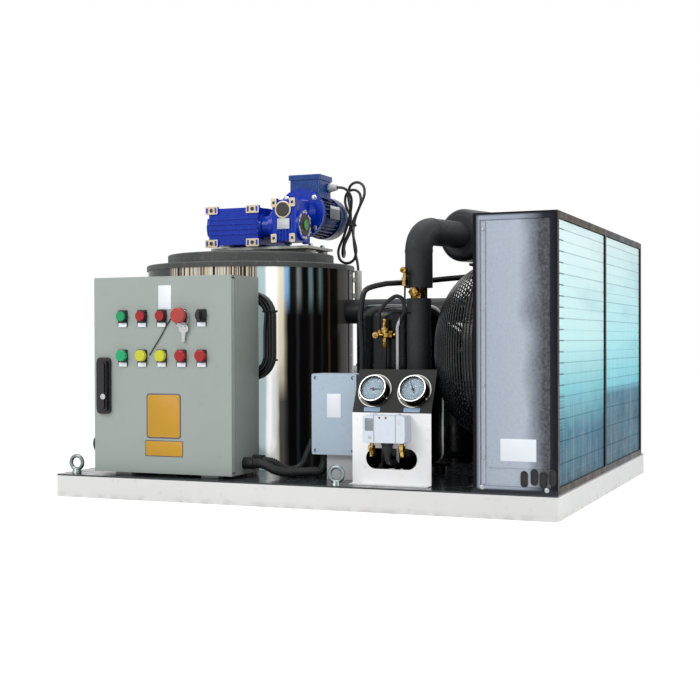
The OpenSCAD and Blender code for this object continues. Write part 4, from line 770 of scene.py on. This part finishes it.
LOW = [
    (-44.9, (120, 108, 88)), (-44.2, DARK), (-38.2, DARK), (-37.9, (52, 54, 56)), (-37.5, DARK),
    (-31.5, DARK), (-29, (58, 55, 52)), (-28.2, DARK), (-23.4, DARK), (-22.8, (50, 50, 50)), (-22.2, DARK)]
REFLECTED_BAR_STOPS = [
    (0.3, (40, 32, 24)), (0.42, (84, 66, 48)), (0.47, (206, 186, 152)), (0.55, (246, 244, 238)),
    (0.62, (120, 108, 92)), (0.7, (52, 44, 36))]
jacket = Skin("polished_jacket", (40, 42, 44), 0.16, 0.45, drift=0.1, size=0.2, stretch=(1, 1, 0.2),
              rough_drift=0.05)
east = jacket.axis(X) - DRUM.x * MM
north = jacket.axis(Y) - DRUM.y * MM
sway = (jacket.noise(0.12, 2, jacket.where) - 0.5) * 1.6
turn = north.calc("ARCTAN2", east).calc("DEGREES") + sway
low_reflection_bands = jacket.ramp(turn, NEAR + LOW + LAST + FAR)
high_reflection_bands = jacket.ramp(turn, NEAR + HIGH + LAST + FAR)
reflection_bands = jacket.mix(jacket.along(Z, 0.47, 0.53), low_reflection_bands, high_reflection_bands)
# Painted reflection: the white band fades to dark low on the drum.
reflection_foot = jacket.along(Z, 0.30, 0.24) * jacket.remap(turn, -49.2, -48.2)
reflection_bands = jacket.mix(reflection_foot * jacket.remap(turn, -44, -43, 0.85, 0.0), reflection_bands, (34, 38, 42))
# Painted reflections of bars on the front side.
reflected_bars = jacket.add("TexNoise", {"W": turn * 0.55, "Scale": 1.0, "Detail": 2.0}, noise_dimensions="1D")
front_side = jacket.remap(turn, -112, -108) * jacket.remap(turn, -60.5, -59.5, 1.0, 0.0)
# Painted glow: the reflection bands, black on the front side, are also emitted by the jacket.
reflection_glow = jacket.mix(front_side, reflection_bands, (0, 0, 0))
reflection_bands = jacket.mix(front_side, reflection_bands, jacket.ramp(reflected_bars, REFLECTED_BAR_STOPS))
jacket.col = jacket.mix(jacket.remap(jacket.noise(0.05, 4), 0.3, 0.7, 0.9, 1.0), (28, 28, 30), reflection_bands)
jacket.set(Specular_Tint=(0.16, 0.16, 0.17, 1.0), Specular_IOR_Level=0.3)
jacket.set(Emission_Color=reflection_glow, Emission_Strength=0.4)
jacket.grain(0.0009, 0.000006, stretch=(1, 1, 0.02))
jacket.on("drum_jacket")

# Materials of the drum's inside, the tank and the cabinet

Skin("foam", (222, 200, 140), 0.85, drift=0.1).grain(0.004, 0.0008, 4).on("drum_insulation")
inner = Skin("stainless", (186, 188, 190), 0.26, 1.0, drift=0.06, size=0.05, stretch=(1, 1, 0.1))
inner.grain(0.0008, 0.00002, stretch=(1, 1, 0.05))
inner.on("evaporator_wall", "bottom_spider", "main_shaft", "ice_blade", "water_tray")
Skin("squeegee_rubber", (60, 62, 66), 0.6, drift=0.1).grain(0.002, 0.0001).on("squeegee")
tank = Skin("tank_plastic", (206, 212, 216), 0.45, drift=0.05).grain(0.005, 0.0001)
tank.fill((-216, 280, 40), (-100, 540, 262), (46, 60, 92), 0.4)
tank.on("water_tank")

DOOR_RGB = (153, 162, 157)


def powder(name, rgb):
    """Textured powder coat."""
    skin = Skin(name, rgb, 0.44, drift=0.035, size=0.15).grain(0.0016, 0.0001, 3)
    return skin.specks(0.02, scaled(rgb, 0.86), 0.3, 0.64)


# Painted shade: the body's colour is a darker copy of the door's paint.
body = powder("cabinet_shaded_paint", (140, 149, 144))
body.stripe(Z, 40, 66, (206, 210, 216), 0.45, 0.0)
body.stripe(X, -165, -100, (22, 23, 25), 0.45)
body.stripe(X, -600, -566.6, (196, 198, 198), 0.45)
body.on("cabinet_body")
powder("door_paint", DOOR_RGB).edges(scaled(DOOR_RGB, 1.2), 0.0015, 0.4).on("cabinet_door")
dress(m_black, "handle_base", "control_bodies", "selector_knob")
dress(m_steel, "keys")
handle = Skin("handle_black", (17, 18, 22), 0.26, drift=0.15).grain(0.0016, 0.00004)
handle.specks(0.006, (60, 62, 66), 0.3, 0.64).on("door_handle")
zinced = Skin("galvanised", (186, 188, 186), 0.38, 0.9, drift=0.16, size=0.02).grain(0.003, 0.00004)
zinced.on("mounting_panel")
gear = Skin("gear_plastic", (214, 216, 212), 0.5, drift=0.06).grain(0.002, 0.00005)
gear.stripe(Z, 300, 420, (44, 46, 50), 0.45)
gear.stripe(Z, 120, 190, (120, 132, 140), 0.5)
gear.on("control_gear")


def lens(name, rgb):
    """Ribbed coloured lens."""
    skin = Skin(name, rgb, 0.22, drift=0.12, size=0.008).grain(0.002, 0.0001, stretch=(6, 1, 1))
    return skin.set(Emission_Color=ink(rgb), Emission_Strength=0.12).done()


def button(name, rgb, rough, size=0.01):
    return Skin(name, rgb, rough, drift=0.08, size=size).grain(0.002, 0.00004)


dress(lens("green_lens", (3, 152, 96)), "green_lamp")
dress(lens("yellow_lens", (187, 187, 39)), "yellow_lamps")
dress(lens("red_lens", (150, 13, 20)), "red_lamps")
button("green_button", (6, 142, 90), 0.35).on("start_button")
button("red_button", (150, 16, 24), 0.3).on("stop_button", "reset_button")
mushroom = button("mushroom", (164, 52, 46), 0.45, 0.02).specks(0.004, (214, 120, 110), 0.35, 0.62)
mushroom.on("emergency_stop")

# Materials of the junction box and the gauge panel

pale = painted("junction_paint", (173, 190, 206), 0.36, (206, 214, 222))
pale.stripe(Z, 40, 119.5, (186, 186, 192), 0.35)
pale.on("junction_box", "junction_cover")
panel = painted("panel_paint", (252, 252, 253), 0.3, drift=0.01)
# Painted reflection: the slope above the fold is dark.
panel.over(panel.along(Z, 0.2288, 0.2296), (30, 31, 29), 0.5)
panel.set(Specular_IOR_Level=0.2).on("gauge_panel")

# Gauge cases: chrome with painted highlights and dark painted reflections, in rings by the radius on the face
# and in bands by the distance from the panel on the sides

FACE_REFLECTION_STOPS = [
    (0.026, (26, 27, 28)), (0.0282, (34, 35, 36)), (0.0306, (52, 53, 54)), (0.0311, (92, 93, 93)),
    (0.0324, (172, 174, 174)), (0.0337, (70, 71, 71)), (0.0350, (38, 38, 36)), (0.0400, (50, 50, 47)),
    (0.0418, (116, 116, 110)), (0.0425, (60, 60, 57))]
SIDE_REFLECTION_STOPS = [
    (0.002, (58, 58, 54)), (0.005, (16, 16, 17)), (0.0085, (30, 30, 31)), (0.0100, (176, 177, 176)),
    (0.0122, (196, 197, 196)), (0.0136, (26, 26, 27)), (0.0185, (44, 45, 45)), (0.0196, (150, 151, 151))]
PIN_WIDE, PIN_TALL = 6, 6.3
case = Skin("gauge_case", (120, 121, 120), 0.14, 1.0, drift=0.1, size=0.012, rough_drift=0.05)
deep = case.axis(Y) - SLOPE_AT.y * MM
tall = case.axis(Z) - SLOPE_AT.z * MM
out_by = deep * SLOPE_N.y + tall * SLOPE_N.z
up_by = deep * SLOPE_U.y + tall * SLOPE_U.z
middle_x, half_x = sum(GAUGE_X) / 2 * MM, (GAUGE_X[1] - GAUGE_X[0]) / 2 * MM
aside = (case.axis(X) - middle_x).calc("ABSOLUTE") - half_x
above = up_by - GAUGE_UP * MM
radius = (aside * aside + above * above).calc("SQRT")
face = case.remap(out_by, 0.0194, 0.0198).calc("MAXIMUM", case.remap(out_by, 0.0026, 0.0022))
# Painted highlights and dark reflections: rings on the face, bands on the sides.
case.col = case.mix(face, case.ramp(out_by, SIDE_REFLECTION_STOPS), case.ramp(radius, FACE_REFLECTION_STOPS))
pin_rows = case.between(up_by, (GAUGE_UP - PIN_TALL) * MM, (GAUGE_UP + PIN_TALL) * MM)
left_pin, right_pin = (case.band(X, x - PIN_WIDE, x + PIN_WIDE) for x in GAUGE_X)
case.over(pin_rows * (left_pin + right_pin), (26, 26, 28), 0.4, 0.2)
case.set(Specular_Tint=(0.5, 0.5, 0.5, 1.0)).on("gauge_cases")

glass = Skin("gauge_glass", (130, 150, 160), 0.06, drift=0.02, rough_drift=0.02).set(Alpha=0.06)
glass.on("gauge_lenses")
m_needle = Skin("needle_paint", (16, 16, 18), 0.4, drift=0.1).grain(0.001, 0.00001).done()
dress(m_needle, "low_needle", "high_needle")
painted("controller_paint", (212, 220, 231), 0.36).on("pressure_controller")

# Materials of the refrigeration set and the cords

dress(m_brass, "brass_valves")
pump = Skin("compressor_paint", (14, 15, 19), 0.2, drift=0.2, size=0.06).grain(0.004, 0.00012)
pump.specks(0.01, (30, 32, 36), 0.45, 0.62).set(Specular_IOR_Level=0.25)
pump.on("compressor")
wrap = Skin("foam_wrap", (36, 39, 42), 0.6, drift=0.14, size=0.02).grain(0.0025, 0.0004, 4)
wrap.stripe(Y, -200, 400, (24, 26, 28), 0.42).set(Specular_IOR_Level=0.3)
wrap.on("suction_line")
painted("receiver_paint", (20, 22, 26), 0.3, (60, 62, 66)).on("liquid_receiver")
pipes = Skin("black_pipe", (22, 23, 26), 0.34, drift=0.2, size=0.03).grain(0.002, 0.00006)
pipes.specks(0.01, (92, 64, 44), 0.35, 0.64).set(Specular_IOR_Level=0.3)
pipes.fill((209, -384, 40), (223, -366, 460), (178, 180, 184), 0.28, 0.9)
pipes.on("refrigerant_tubes")
dress(m_sheath, "motor_cable", "cabinet_cables")
dress(m_rubber, "conduits")

# Materials of the condenser: its front carries a painted reflection, pale at the left and darkening to the
# right

PANEL_REFLECTION_STOPS = [
    (0.482, (158, 167, 182)), (0.578, (168, 178, 192)), (0.602, (118, 126, 139)), (0.627, (42, 46, 55)),
    (0.644, (34, 37, 44))]
FRAME_STOPS = [
    (0.466, (22, 23, 26)), (0.4735, (22, 23, 26)), (0.4745, (96, 98, 102)), (0.482, (162, 170, 186)),
    (0.575, (150, 160, 175)), (0.606, (112, 119, 131)), (0.627, (46, 50, 58)), (0.644, (36, 40, 47)),
    (0.66, (24, 24, 27))]
front = Skin("hammered_panel", (120, 126, 138), 0.32, drift=0.05, size=0.05)
# Painted reflection: a ramp across the front, waved by a noise and tilted with the height.
wave = (front.noise(0.14, 2) - 0.5) * 0.06
tilt = (front.axis(Z) - 0.37) * 0.05
painted_reflection = front.ramp(front.axis(X) + (wave + tilt), PANEL_REFLECTION_STOPS)
# Painted highlights: pale flecks by a fine noise on the hammered sheet.
front.col = front.mix(front.remap(front.noise(0.007, 3), 0.35, 0.7, 0.0, 0.1), painted_reflection, (220, 226, 234))
front.over(front.along(Y, -0.55, -0.54), (92, 96, 104)).grain(0.0045, 0.0003, 2)
front.on("condenser_panels")
bronze = painted("frame_paint", (54, 40, 26), 0.36, (84, 66, 46))
bronze.over(bronze.along(Y, -0.03, -0.02), (52, 52, 55))
bronze.fill((None, -543, 75), (None, 503, 671), (24, 25, 27), 0.4)
# The front face carries the panel's painted reflection, dark at both ends and along its top and bottom rails.
face = bronze.ramp(bronze.axis(X), FRAME_STOPS)
face = bronze.mix(bronze.along(Z, 0.680, 0.684), face, (30, 31, 34))
face = bronze.mix(bronze.along(Z, 0.070, 0.066), face, (48, 50, 56))
bronze.over(bronze.along(Y, -0.5585, -0.5595), face, 0.34)
bronze.stripe(Y, 500, 530, (44, 45, 48), 0.4).set(Specular_IOR_Level=0.06)
bronze.on("condenser_frame")
shroud = painted("shroud_paint", (26, 27, 30), 0.34, (70, 70, 72), drift=0.15)
shroud.on("fan_shroud", "front_fan", "rear_fan", "fan_guards")

# Finned coil: its blue with painted light above and painted shade below, in rows, with painted shade in the
# creases, painted glints, and a finer edge at the front

FRONT_BAY_LIGHT_AND_SHADE = [
    (0.074, (6, 62, 88)), (0.19, (20, 100, 126)), (0.29, (128, 208, 218)), (0.4, (208, 252, 252)),
    (0.67, (236, 255, 255))]
REAR_BAY_LIGHT_AND_SHADE = [
    (0.074, (6, 58, 84)), (0.2, (20, 82, 108)), (0.258, (36, 104, 132)), (0.282, (122, 214, 230)),
    (0.4, (182, 248, 254)), (0.67, (236, 255, 255))]
ROW = 0.05
EDGE_BLUE = (40, 74, 92)
fins = Skin("fin_stack", (170, 210, 216), 0.4, 0.1, drift=0.05, size=0.1).set(Specular_IOR_Level=0.15)


def rows(pitch, half_width):
    """1 on level lines up the coil."""
    return fins.axis(Z).calc("PINGPONG", pitch / 2).calc("LESS_THAN", half_width)


# Painted light and shade: nearly white at the top, deep blue at the bottom.
front_light_and_shade, rear_light_and_shade = fins.ramp(fins.axis(Z), FRONT_BAY_LIGHT_AND_SHADE), fins.ramp(fins.axis(Z), REAR_BAY_LIGHT_AND_SHADE)
fins.col = fins.mix(fins.along(Y, -0.04, 0.0), front_light_and_shade, rear_light_and_shade)
row = fins.axis(Z).calc("DIVIDE", ROW).calc("FLOOR") + fins.axis(Y).calc("GREATER_THAN", -0.2)
tone = fins.add("TexWhiteNoise", {"W": row}, "Value", noise_dimensions="1D")
fins.over(tone * 0.08, (60, 140, 166))
# Painted shade along the crease of every row.
fins.over(rows(ROW, 0.0012) * 0.5, (48, 112, 134))
comb = fins.add("TexWave", {"Vector": fins.where, "Scale": 95.0, "Distortion": 0.4, "Detail": 2.0},
                wave_type="BANDS", bands_direction="Y")
fins.over(comb * 0.2, (64, 138, 158)).height(comb, 0.0006)
# Painted glints: pale streaks where a stretched noise is high.
gleam = fins.noise(0.016, 3, fins.stretched((1, 1, 0.03)))
fins.over(fins.remap(gleam, 0.45, 0.75, 0.0, 0.13), (232, 252, 254))
patch = fins.noise(0.1, 3, fins.stretched((1, 0.3, 1.6)))
fins.over(fins.remap(patch, 0.52, 0.74, 0.0, 0.2), (70, 160, 186))
edge = fins.band(Y, -546, -482, 1)
fins.over(rows(ROW / 2, 0.0016) * edge * 0.7, EDGE_BLUE)
fins.over(rows(0.008, 0.0014) * edge * fins.along(Z, 0.30, 0.26, 0.0, 0.45), EDGE_BLUE)
fins.on("coil")

# Guards of round wire over the fans

FAN_Y = (-290, 250)
FAN_Z = 373
GUARD_X, HUB_X = 467.5, 322
GUARD_R, GUARD_WIDE, GUARD_DEEP = 62, 160.5, 153
RINGS, LEGS, LEG_STEPS = 28, 8, 14
LEG_INSET, LEG_OFF = 3.4, 7
HUB_PROFILE = [(10, -50), (10, 0), (66, 0), (66, 8), (64, 10), (20, 10), (18, 8), (0, 8)]
HUB_BOLT_R, HUB_BOLT_OUT = 46, 9.5


def guard_at(degrees, inset=0.0):
    """Radius and x of the domed guard's profile at an angle."""
    t = radians(degrees)
    return GUARD_R + (GUARD_WIDE - inset) * cos(t), GUARD_X - (GUARD_DEEP - inset) * sin(t)


guard = Shape()
for yc in FAN_Y:
    for i in range(RINGS):
        r, x = guard_at(1 + 86 * i / (RINGS - 1))
        guard.ring((x, yc, FAN_Z), LEFT, r, 1.9, 72, 6)
    for k, off in product(range(LEGS), (-LEG_OFF, LEG_OFF)):
        a = 2 * pi * (k + 0.5) / LEGS
        line = []
        for i in range(LEG_STEPS + 1):
            r, x = guard_at(1.5 + 88 * i / LEG_STEPS, LEG_INSET)
            y, z = r * cos(a) - off * sin(a), r * sin(a) + off * cos(a)
            line.append((x, yc + y, FAN_Z + z))
        guard.tube(line, 2.2, 6)
    guard.lathe((HUB_X, yc, FAN_Z), LEFT, HUB_PROFILE, 48)
    for k in range(4):
        a = pi / 4 + k * pi / 2
        y, z = yc + HUB_BOLT_R * cos(a), FAN_Z + HUB_BOLT_R * sin(a)
        guard.hexbolt((HUB_X - HUB_BOLT_OUT, y, z), LEFT, 8, 3.0, washer=False)
wires = Skin("guard_wire", (24, 25, 28), 0.26, drift=0.2, size=0.02).grain(0.002, 0.00005)
wires.specks(0.008, (78, 78, 80), 0.4, 0.64)
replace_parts(make("guard_wires", guard, wires.done(), smooth=50), "fan_guards")


# Materials of plates and marks

def flat(name, rgb, rough, drift, grain=(0.002, 0.00002)):
    """Smooth sheet or print."""
    return Skin(name, rgb, rough, drift=drift).grain(*grain).done()


yellow = Skin("yellow_plate", (190, 140, 20), 0.5, drift=0.04, size=0.03).grain(0.003, 0.00003)
m_yellow = yellow.specks(0.01, (176, 126, 22), 0.3, 0.63).done()
m_border = flat("plate_border", (62, 72, 92), 0.45, 0.1, (0.002, 0.00003))
m_dial = flat("dial_face", (160, 182, 198), 0.5, 0.03)
m_bluish = flat("pale_blue_plate", (132, 160, 186), 0.42, 0.05)
m_teal = flat("teal_mark", (40, 120, 118), 0.45, 0.06, (0.001, 0.00002))
m_red = flat("red_mark", (120, 16, 20), 0.4, 0.06, (0.001, 0.00002))
m_inset = flat("inset_paint", BLUE, 0.3, 0.12, (0.003, 0.0001))
m_silver = flat("silver_plate", (186, 190, 196), 0.4, 0.05)
m_grey = flat("grey_plate", (112, 116, 118), 0.45, 0.06, (0.002, 0.00003))
m_window = flat("window_grey", (128, 136, 144), 0.2, 0.06)

# Plates, inserts and the strap on the cabinet's door

CONTROL_X = (-479, -421.5, -364, -306.5, -249)
CONTROL_Z = (466, 365)
LOCK_AT = (-528, -547, 260)
LOCK_PROFILE = [(7.4, -0.4), (7.4, 1.2), (6.6, 2.0), (3.0, 2.0), (2.6, 1.0), (0, 1.0)]
STRAP_R = 1.4
strap = [
    (-400, -528.6, 366), (-386, -529.2, 386), (-366, -529.4, 414), (-350, -529.2, 440), (-337, -528.6, 458)]


def plate_on(shape, x0, x1, z0, z1, y, r, h=0.7):
    """Thin plate facing the front."""
    return shape.prism(((x0 + x1) / 2, y, (z0 + z1) / 2), FRONT, rounded(x1 - x0, z1 - z0, r), h, 0.2)


borders, fields = Shape(), Shape()
for x0, x1, z0, z1, r, inset, field_r in ((-410, -310, 155, 269, 8, 3, 6), (-414, -304, 109, 150, 1, 2, 1)):
    plate_on(borders, x0, x1, z0, z1, DOOR_Y, r, 0.5)
    plate_on(fields, x0 + inset, x1 - inset, z0 + inset, z1 - inset, DOOR_Y - 0.45, field_r, 0.4)
make("door_plate_borders", borders, m_border, "cabinet_door")
make("door_yellow_plates", fields, m_yellow, "cabinet_door")
bare = plate_on(Shape(), -374, -337, 483, 543, DOOR_Y, 1.5)
make("door_bare_plate", bare, m_white, "cabinet_door")
legends = Shape()
for x, z in product(CONTROL_X, CONTROL_Z):
    plate_on(legends, x - 12, x + 12, z - 28, z - 17.5, DOOR_Y - 2.4, 1)
make("door_legends", legends, m_white, "cabinet_door")
strap_line = spline(strap, 8)
strap_bar = Shape().tube(strap_line, STRAP_R, 8)
door_strap = make("door_strap", strap_bar, m_black, "cabinet_door")
[[c * MM for c in p] for p in strap_line]
make("handle_lock", Shape().lathe(LOCK_AT, FRONT, LOCK_PROFILE, 24), m_steel, "door_handle")

# Fasteners, plates and marks on the drive

MAIN_FACE, INPUT_FACE = -160, -165
INPUT_AT = (-197, 762.5)
COVER = (-153.5, -115, 722.5)
MOTOR_PLATE = (-136.2, 57, 771)
SEAM_DEG, SEAM_R, SEAM_TOP, SEAM_PITCH = 8, 295.2, 585, 45


def hole_shade(at, r, n):
    """Dark disc over a hole."""
    holes.lathe(at, FRONT, [(r, 0), (r, 0.35), (0, 0.35)], n)


holes, insets, rims = Shape(), Shape(), Shape()
for x, z in product((-422.5, -293.5), (676, 769)):
    hole_shade((x, MAIN_FACE, z), 5.6, 20)
    rims.ring((x, MAIN_FACE - 0.2, z), FRONT, 6.2, 0.7, 24, 6)
    for side in (-13.5, 13.5):
        insets.prism((x + side, MAIN_FACE, z), FRONT, rounded(6, 15, 2.4), 0.35, 0.1)
for x, z in product((-225, -169), (684.5, 782)):
    hole_shade((x, INPUT_FACE, z), 4.1, 18)
    rims.ring((x, INPUT_FACE - 0.2, z), FRONT, 4.7, 0.6, 22, 6)
rims.ring((INPUT_AT[0], INPUT_FACE - 0.4, INPUT_AT[1]), FRONT, 21.5, 1.6, 40, 8, flat=0.6)
make("gearbox_hole_shades", holes, m_rubber)
make("gearbox_pad_insets", insets, m_inset)
make("gearbox_rims", rims, m_cream)
make("input_bare_plate", plate_on(Shape(), -214, -177, 709, 738, INPUT_FACE, 1.0), m_silver)
arcs, bolts = Shape(), Shape()
for k in range(6):
    arcs.prism(COVER, RIGHT, sector(33, 38.5, 60 * k + 8, 44, 8), 0.7)
    a = pi * (k / 3 + 1 / 6)
    bolts.hexbolt((COVER[0], COVER[1] + 38 * cos(a), COVER[2] + 38 * sin(a)), RIGHT, 6, 3.5, washer=False)
make("cover_arcs", arcs, m_cream)
for k in range(4):
    a = pi * (k / 2 + 0.25)
    bolts.hexbolt((INPUT_AT[0] + 60.5 * cos(a), -48, INPUT_AT[1] + 60.5 * sin(a)), FRONT, 8, 5)
for y in (-62, 20):
    bolts.hexbolt((-160, y, 665), UP, 13, 8)
for x, y in product((-239, -155), (-19, 61)):
    bolts.screw((x, y, 874.3), UP, 3, 0.2)
make("drive_fasteners", bolts, m_zinc)
motor_plate = Shape().prism(MOTOR_PLATE, RIGHT, rounded(70, 38, 2), 0.8, 0.2)
make("motor_bare_plate", motor_plate, m_grey)
stripe = Shape().prism(Vector(MOTOR_PLATE) + Vector((0.8, 0, 14)), RIGHT, rounded(66, 8, 1), 0.4, 0.1)
make("motor_plate_stripe", stripe, m_white)
seam = Shape()
out = Vector((cos(radians(SEAM_DEG)), sin(radians(SEAM_DEG)), 0))
for i in range(12):
    seam.rivet(DRUM + out * SEAM_R + Vector((0, 0, SEAM_TOP - SEAM_PITCH * i)), out, 3.2)
make("seam_rivets", seam, m_steel)

# Gauges, controller and junction box

DIAL_OUT = 10.2
DIAL_START, DIAL_SWEEP, TICKS = -225, 270, 27
CONTROL_FACE = -535
ELBOW = [
    (240, -512, 134), (240, -511, 125), (240, -503, 116), (240, -488, 112), (240, -470, 110),
    (240, -452, 104), (240, -441, 90), (240, -438, 66.2)]
GLAND_PROFILE = [(15, 0), (15, 6), (13, 7), (13, 20), (11.5, 22), (9, 26), (9, 30), (0, 30)]


def on_slope(x, up, out):
    """Point on the gauge panel's slope, up it and out from it."""
    return Vector((x, 0, 0)) + SLOPE_AT + SLOPE_U * up + SLOPE_N * out


dials, ticks, scales, bezels, blanks = Shape(), Shape(), Shape(), Shape(), Shape()
for x in GAUGE_X:
    dials.lathe(on_slope(x, GAUGE_UP, DIAL_OUT), SLOPE_N, [(28, 0), (28, 0.4), (0, 0.4)], 48)
    face_at = on_slope(x, GAUGE_UP, DIAL_OUT + 0.4)
    for i in range(TICKS + 1):
        a = radians(DIAL_START + DIAL_SWEEP * i / TICKS)
        d = Vector((cos(a), 0, 0)) + SLOPE_U * sin(a)
        wide, lo, hi = (0.7, 22.5, 26) if i % 3 else (1.1, 20, 26)
        ticks.prism(face_at + d * ((lo + hi) / 2), SLOPE_N, rounded(wide, hi - lo, 0.2, 1), 0.15, up=tuple(d))
    for lo, hi in ((15.4, 16.2), (18.6, 19.2)):
        scale = sector(lo, hi, DIAL_START, DIAL_SWEEP, 36)
        scales.prism(face_at, SLOPE_N, scale, 0.12, up=tuple(SLOPE_U))
    for deg in (90, 210, 330):
        a = radians(deg)
        bezels.screw(on_slope(x + 38.5 * cos(a), GAUGE_UP + 38.5 * sin(a), 2.0), SLOPE_N, 2.4)
    blanks.prism(on_slope(x, 8.5, 0), SLOPE_N, rounded(41, 11, 0.8), 0.6, 0.1, up=tuple(SLOPE_U))
make("gauge_dials", dials, m_dial)
make("gauge_ticks", ticks, m_needle)
make("gauge_scales", scales, m_teal)
make("gauge_screws", bezels, m_steel)
make("gauge_blank_plates", blanks, m_bluish)
seams = Shape()
for x in (215, 269):
    seams.block((x - 0.5, CONTROL_FACE - 0.25, 163), (x + 0.5, CONTROL_FACE + 0.5, 227), 0.1)
make("controller_seams", seams, m_black)
window = plate_on(Shape(), 192, 213, 189, 219, CONTROL_FACE, 1.0, 0.5)
make("controller_window", window, m_window)
make("controller_screw", Shape().screw((204, CONTROL_FACE, 174), FRONT, 4), m_steel)
dots = Shape()
for x in (229, 245):
    dots.lathe((x, CONTROL_FACE, 220), FRONT, [(2.4, 0), (2.4, 0.6), (1.8, 0.9), (0, 0.9)], 16)
make("controller_marks", dots, m_red)
gland = Shape().lathe((240, -512, 161), DOWN, GLAND_PROFILE, 24).tube(spline(ELBOW, 8), 7, 12)
make("controller_gland", gland, m_rubber)
screws = Shape()
for x, z in product((22, 122), (130, 310)):
    screws.screw((x, -434, z), FRONT, 2.8)
make("junction_screws", screws, m_steel)
make("junction_bare_plate", plate_on(Shape(), 54, 91, 212, 271, -440, 1.5), m_white)

# Plate, grommets and fixings on the condenser's front

PANEL_Y = -559
condenser_plate = plate_on(Shape(), 529, 611, 131, 181, PANEL_Y, 1.5)
make("condenser_bare_plate", condenser_plate, m_white)
grommets = Shape()
for x, z, y in ((583, 92, -558.6), (606, 97, -558.6), (626, 92, -558.6), (648, 97, -559.8)):
    grommets.tube([(x + u, y, z + v) for u, v in rounded(13, 33, 6.4, 6)], 1.8, 8, closed=True)
    grommets.prism((x, y + 0.2, z), FRONT, rounded(10, 29, 4.9, 6), 0.6)
make("condenser_grommets", grommets, m_rubber)
fixings = Shape()
for x, z in ((487, 71), (635, 69)):
    fixings.hexbolt((x, PANEL_Y - 0.9, z), FRONT, 5.5, 1.6)
for z in (137, 300, 470, 650):
    fixings.screw((490, PANEL_Y, z), FRONT, 3.4)
make("condenser_fixings", fixings, m_zinc)

# Stage and light

WORLD_DIM = 0.5
FLOOR_GLOW, FLOOR_SHARE = 1.24, 0.72
FLOOR_HALF, FLOOR_Z = 9.0, -0.0005


def seen_share(tree):
    """1 for rays from the camera, reflections and glass, and 0 for the rest."""
    path = add_node(tree, "LightPath")
    total = path.outputs["Is Camera Ray"]
    for ray in ("Is Glossy Ray", "Is Transmission Ray"):
        both = {0: total, 1: path.outputs[ray]}
        total = add_node(tree, "Math", both, operation="ADD", use_clamp=True).outputs[0]
    return total


def stage_world():
    """White where it is seen, and dimmer as light."""
    world = bpy.data.worlds.new("studio")
    scene.world = world
    world.use_nodes = True
    tree = world.node_tree
    strength = add_node(tree, "MapRange", {"Value": seen_share(tree), "To Min": WORLD_DIM, "To Max": 1.0})
    background = tree.nodes["Background"]
    feed(tree, background.inputs["Strength"], strength.outputs[0])
    feed(tree, background.inputs["Color"], (1, 1, 1, 1))


def stage_floor():
    """Pale floor that mostly glows where it is seen."""
    mat = bpy.data.materials.new("floor")
    mat.use_nodes = True
    tree = mat.node_tree
    tree.nodes.clear()
    diffuse = add_node(tree, "BsdfDiffuse", {"Color": (0.9, 0.9, 0.9, 1)})
    glow = add_node(tree, "Emission", {"Strength": FLOOR_GLOW})
    share = add_node(tree, "Math", {0: seen_share(tree), 1: FLOOR_SHARE}, operation="MULTIPLY")
    mixer = add_node(tree, "MixShader", {0: share.outputs[0], 1: diffuse.outputs[0], 2: glow.outputs[0]})
    add_node(tree, "OutputMaterial", {"Surface": mixer.outputs[0]})
    mesh = bpy.data.meshes.new("floor")
    s = FLOOR_HALF
    mesh.from_pydata([(x, y, FLOOR_Z) for x, y in ((-s, -s), (s, -s), (s, s), (-s, s))], [], [(0, 1, 2, 3)])
    mesh.materials.append(mat)
    floor = bpy.data.objects.new("floor", mesh)
    scene.collection.objects.link(floor)


def lamp(name, at, target, size, power):
    data = bpy.data.lights.new(name, "AREA")
    data.shape = "RECTANGLE"
    data.size, data.size_y = size
    data.energy = power
    obj = bpy.data.objects.new(name, data)
    obj.location = at
    obj.rotation_euler = (Vector(target) - Vector(at)).to_track_quat("-Z", "Y").to_euler()
    scene.collection.objects.link(obj)


stage_world()
stage_floor()
lamp("key", (-1.6, -3.2, 2.6), (0, 0, 0.35), (2.2, 1.6), 70)
lamp("fill", (3.2, -1.0, 1.6), (0.3, 0, 0.35), (1.6, 1.6), 36)
lamp("top", (0.2, 0.4, 3.4), (0, 0, 0.3), (2.4, 2.4), 46)
